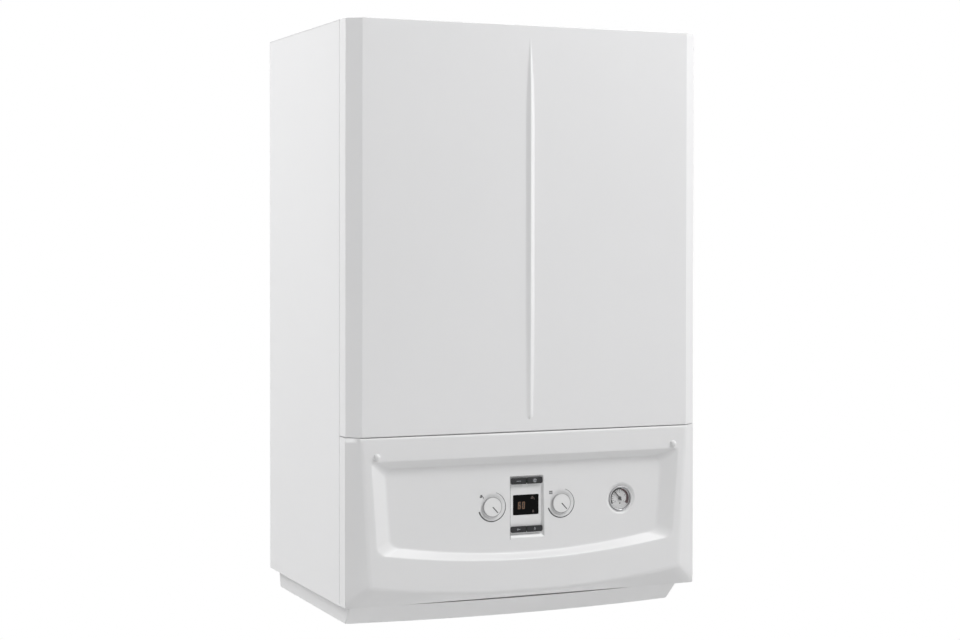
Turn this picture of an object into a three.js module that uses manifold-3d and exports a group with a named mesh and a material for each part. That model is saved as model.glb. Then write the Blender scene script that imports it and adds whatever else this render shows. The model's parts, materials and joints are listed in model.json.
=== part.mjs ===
// Wall-hung combi boiler with a built-in hot-water tank, shown closed.
// Millimetres, +Z up. The front faces -Y, the wall is the plane y = 0, and while the pieces
// are drawn z = 0 is the lower edge of the side panels. The whole group is then lowered so
// that the origin is the middle of the wall bracket's back, where the boiler hangs.
import * as THREE from 'three';
import { mergeVertices } from 'three/addons/utils/BufferGeometryUtils.js';
import Module from 'manifold-3d';

const wasm = await Module();
wasm.setup();

// ---------------------------------------------------------------- driving dimensions
const caseWidth = 600;            // outside of the side panels
const caseHeight = 900;           // side panels, without the tray below
const caseDepth = 425;            // wall to the front face
const sheet = 1.2;                // painted sheet steel
const seat = 0.3;                 // gap between two pieces that rest on each other
const seam = 0.6;                 // gap between outer panels

const chamferWidth = 21.9;        // bevel at both upright front edges, seen from the front
const chamferDepth = 16.2;        // the same bevel, seen from the side
const stripDepth = 28.3;          // side flange of the front covers, behind the bevel
const panelReturn = 14;           // inward flange along the panel edges

const splitHeight = 261.8;        // middle of the gap between the two front covers
const splitGap = 2;
const fasciaFoot = 1;             // lower rim of the lower cover
const fasciaWall = 2.5;           // moulded wall
const fasciaBevelTop = 20.5;      // width of the bevel at the top of the lower cover
const fasciaBevelFoot = 37;       // and at its foot
const footEdgeMiddle = 8.9;       // lower edge of the flat front, in the middle
const footEdgeRise = 29;          // how much higher that edge is at the case's side

const ribBottom = 281;            // raised spindle on the upper cover
const ribTop = 882;
const ribWidth = 16.5;
const ribHeight = 3.8;
const ribPointLength = 144;       // over which it narrows to its pointed top
const ribFootRound = 9;           // its blunt foot
const ribFootLength = 150;        // over which it widens from the foot
const ribFootShare = 0.73;        // of its width, just above the foot

const recessDepth = 12;           // control recess in the lower cover
const recessTop = 223.9;
const recessMiddle = 60.7;        // lowest point of its outer edge
const recessInsetTop = 36.6;      // from the case's side, at the top and at the foot
const recessInsetFoot = 45.4;
const recessSideFoot = 94;        // where its straight sides end
const recessBottomRadius = 1605;  // bow of its lower edge
const recessTopCorner = 4;
const recessLowCorner = 19;
const floorTop = 211.6;           // floor of the recess
const floorMiddle = 69.4;
const floorInsetTop = 63;
const floorInsetFoot = 69.5;
const floorSideFoot = 104;
const floorBottomRadius = 1180;
const floorTopCorner = 14;
const floorLowCorner = 26;

const consoleHeight = 143.8;      // centre line of display and knobs
const bayHalfWidth = 28.5;        // sunk panel round the display
const bayHeight = 91.6;
const bayDepth = 4;
const bayLip = 5;                 // sloping foot of the sunk panel
const windowWidth = 43.2;
const windowHeight = 31.8;
const windowCorner = 1.8;
const windowProud = 0.3;
const keyWidth = 27.4;
const keyHeight = 9.9;
const keyOffset = 38.2;           // keys above and below the display's centre
const keyGap = 0.4;               // round each key
const keyTravel = 0.8;

const knobSpacing = 119;          // between the two knobs
const knobRadius = 16.1;
const knobHeight = 2.6;           // nearly flush
const knobEdge = 1;
const knobShaftRadius = 3;
const knobRunning = 0.5;          // gap behind the skirt

const gaugeInset = 134.2;         // from the case's side
const gaugeHeight = 145.6;
const gaugeRadius = 20;
const gaugeRim = 1.8;
const gaugeLength = 28;
const dialDepth = 6;              // from the rim back to the dial
const lensThickness = 1.2;
const dishRadius = 27.6;          // shallow dish round the gauge
const dishDepth = 2.4;
const needleLength = 13.5;
const needleAngle = 130;          // from +X, seen from the front

const screwInset = 45.5;          // from the case's side
const screwHeight = 232;
const screwHeadRadius = 5;
const screwHeadHeight = 5;
const screwShankRadius = 2.5;
const screwLength = 16;

const trayDrop = 35;              // how far the tray reaches below the side panels
const trayTopGap = 3;
const trayInsetTop = 16;
const trayInsetFoot = 18.5;
const trayTopBack = 42;           // front face to its front edge, at the ends
const trayTopBow = 22;            // further forward in the middle
const trayFootBack = 74;
const trayFootBow = 25;
const trayWall = 2.5;

const hingeHeight = 5;            // the lower cover folds down about this axis
const hingeBehindFront = 21;
const hingePinRadius = 2.5;
const hingeEarRadius = 4.2;
const hingeEar = 2;
const hingeLug = 4.6;
const hingeClear = 0.35;
const cornerRelief = 1.5;         // cut from the cover's foot beside the side strips

const bracketDrop = 60;           // case's top to the middle of the wall bracket
const bracketWidth = 380;
const bracketTall = 50;
const bracketPlate = 3;
const backPanelDepth = 14;        // space behind the back panel, for the bracket
const backPanelSheet = 2;

const shelfHeight = 272;          // shelf that carries the tank
const shelfSheet = 2;
const plateHeight = 6;            // plate that the pipes pass through
const plateSheet = 2;
const plateBehindFront = 95;
const pipeClear = 1;              // round a pipe in its hole

const tankSideGap = 4.8;          // between its foam and the side panel
const tankBackGap = 30;           // between its foam and the back panel
const tankCellGap = 45;           // between its foam and the heat exchanger
const tankHeadroom = 44.7;        // under the top panel
const tankWall = 2;
const tankFoam = 13;
const tankFoamGap = 0.4;
const coilInset = 40;             // from the tank's wall to the middle of the coil's tube
const coilTurns = 4;
const coilPitch = 40;
const portRadius = 12;
const portWall = 3;
const coilTube = portRadius - portWall - 0.5;

const cellDrop = 280;             // case's top to the middle of the condensing heat exchanger
const cellRadius = 100;
const cellSideGap = 41.8;         // between it and the side panel
const cellBackGap = 104;          // between it and the back panel
const cellLength = 210;
const cellWall = 3;
const doorThickness = 14;
const doorOverhang = 8;
const burnerRadius = 32;
const flueRadius = 40;
const flueWall = 2;
const flueInset = 40;             // from the heat exchanger's back
const collarFlange = 80;
const collarRise = 22;
const collarSheet = 2;
const airGapRadius = 60;          // air for the burner enters round the flue duct

const vesselGap = 17;             // shelf to the heating circuit's expansion vessel
const vesselSideGap = 15.8;       // and between it and the side panel
const vesselShare = 0.3584;       // its radius, of the height from the shelf to the exchanger

const fanOffset = 28;             // outwards from the heat exchanger's middle
const fanDrop = 180;              // below it
const fanRadius = 66;
const fanThick = 40;
const fanBehindCell = 40;
const fanWall = 3;
const impellerRadius = 54;
const impellerThick = 24;
const fanInlet = 20;
const motorRadius = 34;
const motorLength = 46;
const shaftRadius = 4;
const shaftClear = 0.4;

const connectionSpacing = 65;     // between the five pipe connections
const connectionDepth = 94;       // from the back panel
const pipeRadius = 11;
const gasPipeRadius = 9;
const unionFoot = -12;
const pipeFoot = -31;             // pipe ends stay above the tray's lower edge

// ---------------------------------------------------------------- derived places
const side = caseWidth / 2;
const recessHalfTop = side - recessInsetTop;
const recessHalfFoot = side - recessInsetFoot;
const floorHalfTop = side - floorInsetTop;
const floorHalfFoot = side - floorInsetFoot;
const gaugeX = side - gaugeInset;
const screwX = side - screwInset;
const front = -caseDepth;
const bevelBack = front + chamferDepth;
const seamY = bevelBack + stripDepth;
const panelFront = seamY + seam;
const coverFoot = splitHeight + splitGap / 2;
const fasciaTop = splitHeight - splitGap / 2;
const floorY = front + recessDepth;
const floorBack = floorY + fasciaWall;
const bayY = floorY + bayDepth;
const bayBack = bayY + fasciaWall;
const boardFront = bayBack + 6.5;
const boardThick = 1.6;
const hingeDepth = caseDepth - hingeBehindFront;
const boxBack = front + 93;       // control box behind the lower cover
const boxLeft = -(side - 95);
const boxRight = gaugeX - gaugeRadius - 20.8;
const boxFoot = consoleHeight - 59.8;
const boxTop = consoleHeight + 62.2;
const boxWall = 2.5;
const shelfTop = shelfHeight + shelfSheet;
const plateTop = plateHeight + plateSheet;
const backFace = -(backPanelDepth + backPanelSheet);
const topUnder = caseHeight - sheet;
const bracketHeight = caseHeight - bracketDrop;
const trayTopFront = caseDepth - trayTopBack;
const trayFootFront = caseDepth - trayFootBack;
const plateDepth = caseDepth - plateBehindFront;
const panelInside = side - sheet;
// the tank takes the width that the heat exchanger leaves
const tankRadius = (2 * panelInside - cellSideGap - 2 * cellRadius - tankCellGap - tankSideGap) / 2
  - tankFoam;
const tankX = panelInside - tankSideGap - tankFoam - tankRadius;
const tankY = backFace - tankBackGap - tankFoam - tankRadius;
const tankFoot = shelfTop + seat + tankFoam + 8;
const tankHeight = caseHeight - tankHeadroom - tankFoot;
const coilRadius = tankRadius - coilInset;
const cellX = -(panelInside - cellSideGap - cellRadius);
const cellHeight = caseHeight - cellDrop;
const cellBack = backFace - cellBackGap;
const cellFront = cellBack - cellLength;
const flueY = cellBack - flueInset;
const fanX = cellX - fanOffset;
const fanHeight = cellHeight - fanDrop;
const fanFront = cellFront + fanBehindCell;
const connectionY = backFace - connectionDepth;

// ---------------------------------------------------------------- solid helpers
function solid(geometry) {
  const g = geometry.clone();
  g.deleteAttribute('normal');
  g.deleteAttribute('uv');
  const merged = mergeVertices(g, 1e-4);
  const index = Array.from(merged.index.array);
  const kept = [];
  for (let i = 0; i < index.length; i += 3) {
    const [a, b, c] = index.slice(i, i + 3);
    if (a !== b && b !== c && a !== c) kept.push(a, b, c);
  }
  return new wasm.Manifold(new wasm.Mesh({
    numProp: 3,
    vertProperties: new Float32Array(merged.attributes.position.array),
    triVerts: new Uint32Array(kept),
  }));
}

function toGeometry(manifold) {
  const mesh = manifold.getMesh();
  const g = new THREE.BufferGeometry();
  g.setAttribute('position', new THREE.BufferAttribute(new Float32Array(mesh.vertProperties), 3));
  g.setIndex(new THREE.BufferAttribute(new Uint32Array(mesh.triVerts), 1));
  g.computeVertexNormals();
  return g;
}

const join = (...parts) => parts.reduce((a, b) => a.add(b));
const cut = (body, ...tools) => tools.reduce((a, b) => a.subtract(b), body);

function block(x0, x1, y0, y1, z0, z1) {
  const g = new THREE.BoxGeometry(Math.abs(x1 - x0), Math.abs(y1 - y0), Math.abs(z1 - z0));
  g.translate((x0 + x1) / 2, (y0 + y1) / 2, (z0 + z1) / 2);
  return solid(g);
}

// round bar between two heights (z) or two depths (y) or two sides (x)
function bar(axis, r, from, to, at, steps = 24, rTo = r) {
  const g = new THREE.CylinderGeometry(rTo, r, Math.abs(to - from), steps);
  const middle = (from + to) / 2;
  if (axis === 'z') {
    g.rotateX(Math.PI / 2);
    g.translate(at[0], at[1], middle);
  } else if (axis === 'y') {
    g.translate(at[0], middle, at[1]);
  } else {
    g.rotateZ(-Math.PI / 2);
    g.translate(middle, at[0], at[1]);
  }
  return solid(g);
}

// turned body: profile points [radius, distance], axis 'y' or 'z'
function turned(axis, profile, at, steps = 28) {
  const g = new THREE.LatheGeometry(profile.map(([r, d]) => new THREE.Vector2(r, d)), steps);
  if (axis === 'z') {
    g.rotateX(Math.PI / 2);
    g.translate(at[0], at[1], at[2]);
  } else {
    g.translate(at[0], at[1], at[2]);
  }
  const body = solid(g);
  return body.volume() < 0 ? solid(flipped(g)) : body;
}

function flipped(geometry) {
  const g = geometry.index ? geometry.toNonIndexed() : geometry.clone();
  const p = g.attributes.position.array;
  for (let i = 0; i < p.length; i += 9) {
    for (let k = 0; k < 3; k += 1) [p[i + k], p[i + 3 + k]] = [p[i + 3 + k], p[i + k]];
  }
  return g;
}

// upright prism over a plan outline of [x, y] points
function prism(outline, z0, z1) {
  const shape = new THREE.Shape(outline.map(([x, y]) => new THREE.Vector2(x, y)));
  const g = new THREE.ExtrudeGeometry(shape, { depth: z1 - z0, bevelEnabled: false });
  g.translate(0, 0, z0);
  return solid(g);
}

// skin between rings of [x, y, z] points with equal counts, closed at both ends
function loft(rings) {
  const n = rings[0].length;
  const points = rings.flat();
  const faces = [];
  for (let r = 0; r + 1 < rings.length; r += 1) {
    for (let i = 0; i < n; i += 1) {
      const a = r * n + i;
      const b = r * n + ((i + 1) % n);
      faces.push([a, b, b + n], [a, b + n, a + n]);
    }
  }
  for (const [ring, start, turn] of [[rings[0], 0, true], [rings.at(-1), n * (rings.length - 1), false]]) {
    for (const [a, b, c] of capFaces(ring)) {
      faces.push(turn ? [start + a, start + c, start + b] : [start + a, start + b, start + c]);
    }
  }
  const corner = new THREE.Vector3();
  let volume = 0;
  const at = (k) => corner.clone().set(...points[k]);
  for (const [a, b, c] of faces) volume += at(a).dot(at(b).cross(at(c)));
  const positions = [];
  for (const [a, b, c] of faces) {
    const order = volume < 0 ? [a, c, b] : [a, b, c];
    for (const k of order) positions.push(...points[k]);
  }
  const g = new THREE.BufferGeometry();
  g.setAttribute('position', new THREE.BufferAttribute(new Float32Array(positions), 3));
  return solid(g);
}

// triangles of a flat ring, wound as the ring runs
function capFaces(ring) {
  const v = ring.map((p) => new THREE.Vector3(...p));
  const normal = new THREE.Vector3();
  v.forEach((p, i) => normal.add(p.clone().cross(v[(i + 1) % v.length])));
  normal.normalize();
  const helper = Math.abs(normal.z) < 0.9 ? new THREE.Vector3(0, 0, 1) : new THREE.Vector3(1, 0, 0);
  const e1 = helper.cross(normal).normalize();
  const e2 = normal.clone().cross(e1);
  const flat = v.map((p) => new THREE.Vector2(p.dot(e1), p.dot(e2)));
  return THREE.ShapeUtils.triangulateShape(flat, []);
}

// pipe along corner points, each inner corner rounded
function pipe(corners, radius, bend = 22, sides = 10) {
  const v = corners.map((p) => new THREE.Vector3(...p));
  const path = [v[0]];
  for (let i = 1; i + 1 < v.length; i += 1) {
    const inward = v[i - 1].clone().sub(v[i]);
    const outward = v[i + 1].clone().sub(v[i]);
    const reach = Math.min(bend, inward.length() * 0.48, outward.length() * 0.48);
    const a = v[i].clone().add(inward.setLength(reach));
    const b = v[i].clone().add(outward.setLength(reach));
    const curve = new THREE.QuadraticBezierCurve3(a, v[i], b);
    path.push(...curve.getPoints(4));
  }
  path.push(v.at(-1));
  let across = null;
  const rings = path.map((p, i) => {
    const before = path[Math.max(i - 1, 0)];
    const after = path[Math.min(i + 1, path.length - 1)];
    const along = after.clone().sub(before).normalize();
    if (!across) across = new THREE.Vector3(0.31, 0.83, 0.47);
    across = across.clone().sub(along.clone().multiplyScalar(across.dot(along))).normalize();
    const third = along.clone().cross(across);
    return Array.from({ length: sides }, (_, k) => {
      const t = (2 * Math.PI * k) / sides;
      return p.clone()
        .add(across.clone().multiplyScalar(radius * Math.cos(t)))
        .add(third.clone().multiplyScalar(radius * Math.sin(t))).toArray();
    });
  });
  return loft(rings);
}

const circle = (x, y, r, steps = 24) => Array.from({ length: steps }, (_, k) => {
  const t = (2 * Math.PI * k) / steps;
  return [x + r * Math.cos(t), y + r * Math.sin(t)];
});

// rectangle with rounded corners, in any two axes
function roundedRect(halfW, halfH, r, steps = 4) {
  const points = [];
  for (const [sx, sy, start] of [[1, 1, 0], [-1, 1, 90], [-1, -1, 180], [1, -1, 270]]) {
    for (let k = 0; k <= steps; k += 1) {
      const t = THREE.MathUtils.degToRad(start + (90 * k) / steps);
      points.push([sx * (halfW - r) + r * Math.cos(t), sy * (halfH - r) + r * Math.sin(t)]);
    }
  }
  return points;
}

// the same rectangle facing the front, from depth y0 to y1
const tile = (x, z, halfW, halfH, r, y0, y1, steps = 4) => loft([y0, y1].map((y) => (
  roundedRect(halfW, halfH, r, steps).map(([px, pz]) => [x + px, y, z + pz]))));

// ---------------------------------------------------------------- materials
const finish = (color, roughness, metalness) => new THREE.MeshStandardMaterial({
  color, roughness, metalness,
});
const whitePaint = () => finish(0xe4e4e6, 0.35, 0);
const whitePlastic = () => finish(0xdededf, 0.42, 0);
const galvanised = () => finish(0xa9adb0, 0.45, 0.85);
const stainless = () => finish(0xb9bbbd, 0.3, 0.9);
const castAluminium = () => finish(0xa8aaac, 0.5, 0.85);
const copper = () => finish(0xb8693f, 0.32, 0.95);
const brass = () => finish(0xb08d4a, 0.35, 0.9);
const blackPlastic = () => finish(0x1b1b1d, 0.45, 0);
const darkGrey = () => finish(0x3c3d40, 0.5, 0);
const redPaint = () => finish(0x9d2420, 0.4, 0);
const foam = () => finish(0x8c8f94, 0.95, 0);
const circuitGreen = () => finish(0x1f5a3a, 0.5, 0);

// ---------------------------------------------------------------- casing
// plan outline of the covers, drawn inwards by inset, open or closed at the back line
function coverPlan(inset, back, bevel) {
  const run = Math.hypot(bevel, chamferDepth);
  const turn = Math.acos(chamferDepth / run);
  const besideBevel = inset * Math.tan(turn / 2);
  const beforeFront = inset * Math.tan((Math.PI / 2 - turn) / 2);
  const x = side - inset;
  const nose = side - bevel - beforeFront;
  return [[-x, back], [-x, bevelBack + besideBevel], [-nose, front + inset],
    [nose, front + inset], [x, bevelBack + besideBevel], [x, back]];
}

function sidePanel(sign) {
  const x = (d) => sign * (side - d);
  const foot = panelReturn;
  const plan = [[x(0), 0], [x(0), panelFront], [x(foot), panelFront], [x(foot), panelFront + sheet],
    [x(sheet), panelFront + sheet], [x(sheet), -sheet], [x(foot), -sheet], [x(foot), 0]];
  return prism(sign > 0 ? plan : plan.reverse(), 0, topUnder - seat);
}

function topPanel() {
  const plate = block(-side, side, 0, panelFront, topUnder, caseHeight);
  const lip = block(-side + panelReturn + 4, side - panelReturn - 4,
    panelFront, panelFront + sheet, topUnder - panelReturn, topUnder);
  return cut(join(plate, lip), bar('z', airGapRadius, topUnder - 1, caseHeight + 1,
    [cellX, flueY], 28));
}

function backPanel() {
  const x = side - sheet - seat;
  const plate = block(-x, x, -backPanelDepth, backFace, 2, topUnder - seat);
  const slot = block(-bracketWidth / 2 + 30, bracketWidth / 2 - 30, -backPanelDepth + 1, backFace - 1,
    bracketHeight + bracketTall / 2 + 6, bracketHeight + bracketTall / 2 + 14);
  return cut(plate, slot);
}

function wallBracket() {
  const low = bracketHeight - bracketTall / 2;
  const high = bracketHeight + bracketTall / 2;
  const half = bracketWidth / 2;
  const holes = [-0.82, -0.4, 0.4, 0.82].map((f) => bar('y', 4.5, 1, -bracketPlate - 1,
    [f * half, bracketHeight], 12));
  const ledge = block(-half, half, -bracketPlate + 0.2, -backPanelDepth + seat, high - bracketPlate, high);
  return cut(join(block(-half, half, 0, -bracketPlate, low, high), ledge), ...holes);
}

function supportShelf() {
  const x = side - sheet - seat;
  const edge = panelFront + 17.9;
  const deck = block(-x, x, backFace - seat, edge, shelfHeight, shelfTop);
  const nose = block(-x + 2, x - 2, edge + 2, edge, shelfHeight - 18, shelfHeight + 0.2);
  return cut(join(deck, nose), ...shelfHoles());
}

function pipePlate() {
  const x = side - sheet - seat;
  const plate = block(-x, x, backFace - seat, -plateDepth, plateHeight, plateTop);
  const holes = connections().map(([cx, r]) => bar('z', r + pipeClear, plateHeight - 1, plateTop + 1,
    [cx, connectionY], 20));
  const tap = bar('z', tapShaft + 1, plateHeight - 1, plateTop + 1, [tapX, connectionY], 16);
  const gland = bar('z', glandRadius + seat, plateHeight - 1, plateTop + 1, [glandX, glandY], 16);
  return cut(plate, ...holes, tap, gland);
}

// lower side strips beside the fold-down cover, with the pins that it turns on
function cheek(sign) {
  const x = (d) => sign * (side - d);
  const nose = bevelBack + seam;
  const plan = [[x(0), seamY], [x(0), nose], [x(sheet), nose], [x(sheet), seamY - sheet],
    [x(panelReturn), seamY - sheet], [x(panelReturn), seamY]];
  const strip = prism(sign > 0 ? plan.reverse() : plan, fasciaFoot, fasciaTop);
  const at = [-hingeDepth, hingeHeight];
  const inner = panelReturn;
  const arm = block(x(inner), x(inner - hingeEar), seamY - sheet / 2, -hingeDepth,
    hingeHeight - hingeEarRadius, hingeHeight + hingeEarRadius);
  const eye = bar('x', hingeEarRadius, x(inner - hingeEar), x(inner), at, 20);
  const pin = bar('x', hingePinRadius, x(inner - hingeEar / 2), x(inner + hingeLug + 1.2), at, 16);
  return join(strip, arm, eye, pin);
}

// lens-shaped rib, tapering to a point at both ends
function ribSwell(z) {
  const up = z - ribBottom;
  const point = 1 - (1 - Math.min((ribTop - z) / ribPointLength, 1)) ** 2;
  const blunt = Math.sqrt(1 - (1 - Math.min(up / ribFootRound, 1)) ** 2);
  const growth = ribFootShare + (1 - ribFootShare) * Math.min(up / ribFootLength, 1);
  return Math.max(Math.min(point, blunt * growth), 0.03);
}

function rib() {
  const stations = 22;
  const rings = [];
  for (let i = 0; i <= stations; i += 1) {
    const t = (1 - Math.cos((Math.PI * i) / stations)) / 2;
    const z = ribBottom + (ribTop - ribBottom) * t;
    const w = (ribWidth / 2) * ribSwell(z);
    const h = ribHeight * ribSwell(z);
    rings.push([[-w, front + sheet / 2, z], [w, front + sheet / 2, z], [w, front, z],
      [0.5 * w, front - 0.72 * h, z], [0, front - h, z], [-0.5 * w, front - 0.72 * h, z],
      [-w, front, z]]);
  }
  return loft(rings);
}

function upperCover() {
  const outer = prism(coverPlan(0, seamY, chamferWidth), coverFoot, caseHeight);
  const inner = prism(coverPlan(sheet, seamY + 1, chamferWidth), coverFoot + sheet, caseHeight - sheet);
  const returns = [-1, 1].map((s) => block(s * (side - sheet / 2), s * (side - panelReturn),
    seamY, seamY - sheet, coverFoot + sheet / 2, caseHeight - sheet / 2));
  return join(cut(outer, inner), rib(), ...returns);
}

// ---------------------------------------------------------------- lower cover
// outline of the recess or of its floor: straight top and sides, bowed foot, round corners
function bowlOutline(halfTop, halfFoot, top, sideFoot, middle, bow, topCorner, lowCorner, grow) {
  const points = [];
  const sideAt = (z) => halfFoot + ((halfTop - halfFoot) * (z - sideFoot)) / (top - sideFoot) + grow;
  const footAt = (x) => middle - grow + bow - Math.sqrt(bow * bow - x * x);
  const cornerTop = 4;
  for (let k = 0; k <= cornerTop; k += 1) {
    const t = ((Math.PI / 2) * k) / cornerTop;
    const z = top + grow - topCorner * (1 - Math.cos(t));
    points.push([sideAt(top) - topCorner * (1 - Math.sin(t)), z]);
  }
  const cornerLow = 6;
  const footX = sideAt(sideFoot) - lowCorner;
  const footZ = footAt(footX);
  for (let k = 0; k <= cornerLow; k += 1) {
    const t = ((Math.PI / 2) * k) / cornerLow;
    points.push([footX + lowCorner * Math.cos(t), footZ + (sideFoot - footZ) * (1 - Math.sin(t))]);
  }
  const footSteps = 10;
  for (let k = 1; k < footSteps; k += 1) {
    const x = footX * (1 - k / footSteps);
    points.push([x, footAt(x)]);
  }
  const left = points.slice().reverse().map(([x, z]) => [-x, z]);
  return [...points, [0, footAt(0)], ...left];
}

const recessEdge = (grow) => bowlOutline(recessHalfTop, recessHalfFoot, recessTop, recessSideFoot,
  recessMiddle, recessBottomRadius, recessTopCorner, recessLowCorner, grow);
const floorEdge = (grow) => bowlOutline(floorHalfTop, floorHalfFoot, floorTop, floorSideFoot,
  floorMiddle, floorBottomRadius, floorTopCorner, floorLowCorner, grow);

// sinks from the front face to the floor; deeper by wall and wider by grow for its back
function recessSolid(grow, wall) {
  const ring = (edge, y) => edge.map(([x, z]) => [x, y, z]);
  return loft([ring(recessEdge(grow), front + wall - 0.01), ring(floorEdge(grow), floorY + wall)]);
}

// wedge that turns the foot of the cover under; its edge on the front rises towards the sides
function footWedge(wall) {
  const steps = 16;
  const below = -60;
  const rings = [];
  for (let i = 0; i <= steps; i += 1) {
    const x = -side - 5 + ((2 * side + 10) * i) / steps;
    const rise = footEdgeMiddle + footEdgeRise * (x / side) ** 2;
    const slope = (rise - fasciaFoot) / chamferDepth;
    const shift = wall * Math.hypot(1, slope);
    const zAt = (y) => fasciaFoot + shift + (bevelBack - y) * slope;
    rings.push([[x, bevelBack + 6, below], [x, bevelBack + 6, zAt(bevelBack + 6)],
      [x, front - 6, zAt(front - 6)], [x, front - 6, below]]);
  }
  return loft(rings);
}

function coverBody(inset, back, foot, top) {
  const ring = (z) => {
    const share = (z - fasciaFoot) / (fasciaTop - fasciaFoot);
    const bevel = fasciaBevelFoot + (fasciaBevelTop - fasciaBevelFoot) * share;
    return coverPlan(inset, back, bevel).map(([x, y]) => [x, y, z]);
  };
  return loft([ring(foot), ring(top)]);
}

function dish(grow, wall) {
  const z = gaugeHeight;
  return loft([[dishRadius + grow, floorY - 0.5 * (1 - Math.min(wall, 1))],
    [gaugeRadius + 1.2 + grow, floorY + dishDepth + wall]]
    .map(([r, y]) => circle(gaugeX, z, r, 32).map(([px, pz]) => [px, y, pz])));
}

function lowerCover() {
  const back = bevelBack;
  const outer = cut(coverBody(0, back, fasciaFoot, fasciaTop), footWedge(0));
  const inner = cut(coverBody(fasciaWall, back + 3, fasciaFoot + fasciaWall, fasciaTop - fasciaWall),
    footWedge(fasciaWall));
  const shell = cut(outer, inner);
  const recessBack = recessSolid(fasciaWall, fasciaWall);
  const bayBacking = block(-bayHalfWidth - fasciaWall, bayHalfWidth + fasciaWall, floorY, bayBack,
    consoleHeight - bayHeight / 2 - fasciaWall, consoleHeight + bayHeight / 2 + fasciaWall);
  const low = consoleHeight - bayHeight / 2;
  const high = consoleHeight + bayHeight / 2;
  const bay = loft([[floorY - 1, low - bayLip], [bayY, low]].map(([y, z]) => (
    [[-bayHalfWidth, y, z], [bayHalfWidth, y, z], [bayHalfWidth, y, high], [-bayHalfWidth, y, high]])));
  const window = tile(0, consoleHeight, windowWidth / 2 + 0.2, windowHeight / 2 + 0.2, windowCorner,
    floorY - 1, bayBack + 1, 2);
  const keyHoles = keyPlaces().map(([x, z]) => tile(x, z, keyWidth / 2 + keyGap,
    keyHeight / 2 + keyGap, 1.5, floorY - 1, bayBack + 1, 2));
  const knobHoles = knobPlaces().map((x) => bar('y', knobShaftRadius + 0.5, floorY - 1, floorBack + 1,
    [x, consoleHeight], 16));
  const gaugeHole = bar('y', gaugeRadius + seat, floorY - 1, floorBack + dishDepth + 3,
    [gaugeX, gaugeHeight], 32);
  const screwHoles = [-1, 1].map((s) => bar('y', screwShankRadius + 0.4, front - 1, front + 16,
    [s * screwX, screwHeight], 12));
  const lugOuter = side - panelReturn - 0.5;
  const lugs = [-1, 1].map((s) => cut(block(s * lugOuter, s * (lugOuter - hingeLug),
    bevelBack - 0.6, -hingeDepth + 4.3, hingeHeight - 3.8, hingeHeight + 4.3),
  bar('x', hingePinRadius + hingeClear, s * (lugOuter - hingeLug - 1), s * side,
    [-hingeDepth, hingeHeight], 16)));
  const reliefs = [-1, 1].map((s) => block(s * (side - cornerRelief), s * (side + 1),
    front, bevelBack + 1, 0, hingeHeight + 8));
  const skin = cut(join(shell, recessBack, bayBacking, dish(fasciaWall, fasciaWall)),
    recessSolid(0, 0), bay, dish(0, 0), window, ...keyHoles, ...knobHoles, gaugeHole, ...screwHoles,
    ...reliefs);
  return join(skin, ...lugs);
}

const keyPlaces = () => [1, -1].flatMap((v) => [-1, 1].map((h) => (
  [h * (keyWidth / 2 + keyGap / 2), consoleHeight + v * keyOffset])));
const knobPlaces = () => [-knobSpacing / 2, knobSpacing / 2];

// ---------------------------------------------------------------- controls
function key([x, z]) {
  const cap = tile(x, z, keyWidth / 2, keyHeight / 2, 1.4, floorY, bayBack, 3);
  const plunger = bar('y', 2.5, bayBack - 0.5, boardFront - keyTravel - 0.4, [x, z], 12);
  return join(cap, plunger);
}

function knob(x) {
  const base = floorY - knobRunning;
  const face = base - knobHeight;
  return join(turned('y', [[0, base], [knobRadius, base], [knobRadius - 0.5, face + knobEdge],
    [knobRadius - knobEdge, face], [0, face]], [x, 0, consoleHeight], 36),
  bar('y', knobShaftRadius, base - 0.5, boardFront + boardThick - 0.4, [x, consoleHeight], 16));
}

function controlBoard() {
  const y0 = boardFront;
  const plate = block(boxLeft + boxWall + 4, boxRight - boxWall - 4, y0, y0 + boardThick,
    boxFoot + boxWall + 4, boxTop - boxWall - 4);
  const pots = knobPlaces().map((x) => bar('y', 8, y0 + 0.2, y0 - 5, [x, consoleHeight], 20));
  const bores = knobPlaces().map((x) => bar('y', knobShaftRadius + 0.35, y0 + 3, y0 - 6,
    [x, consoleHeight], 16));
  const chips = [[40, 34, 22, 12], [85, 96, 18, 14], [55, 66, 14, 20]].map(([x, z, w, h]) => (
    block(boxLeft + x, boxLeft + x + w, y0 + 0.2, y0 - 4, boxFoot + z, boxFoot + z + h)));
  return cut(join(plate, ...pots, ...chips), ...bores);
}

function controlBox() {
  const y0 = floorBack + seat;
  const shell = cut(block(boxLeft, boxRight, y0, boxBack, boxFoot, boxTop),
    block(boxLeft + boxWall, boxRight - boxWall, y0 - 1, boxBack - boxWall, boxFoot + boxWall,
      boxTop - boxWall));
  const posts = [[boxLeft + 16, boxFoot + 16], [boxRight - 16, boxFoot + 16], [boxLeft + 16, boxTop - 16],
    [boxRight - 16, boxTop - 16]].map(([x, z]) => bar('y', 4, boardFront + boardThick + 0.1,
    boxBack - boxWall + 0.5, [x, z], 12));
  return join(shell, ...posts);
}

function displayWindow() {
  return tile(0, consoleHeight, windowWidth / 2, windowHeight / 2, windowCorner - 0.2,
    bayY - windowProud, boardFront - seat, 3);
}

function gaugeBody() {
  const rim = floorY + dishDepth - 2.2;
  const dial = rim + dialDepth;
  const inner = gaugeRadius - gaugeRim;
  return cut(turned('y', [[0, rim + gaugeLength], [gaugeRadius - 3, rim + gaugeLength],
    [gaugeRadius, rim + gaugeLength - 4], [gaugeRadius, rim + 0.8], [gaugeRadius - 0.8, rim],
    [inner, rim], [inner, dial], [0, dial]], [gaugeX, 0, gaugeHeight], 36),
  bar('y', 1.3, dial - 1, dial + 5, [gaugeX, gaugeHeight], 12));
}

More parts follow.
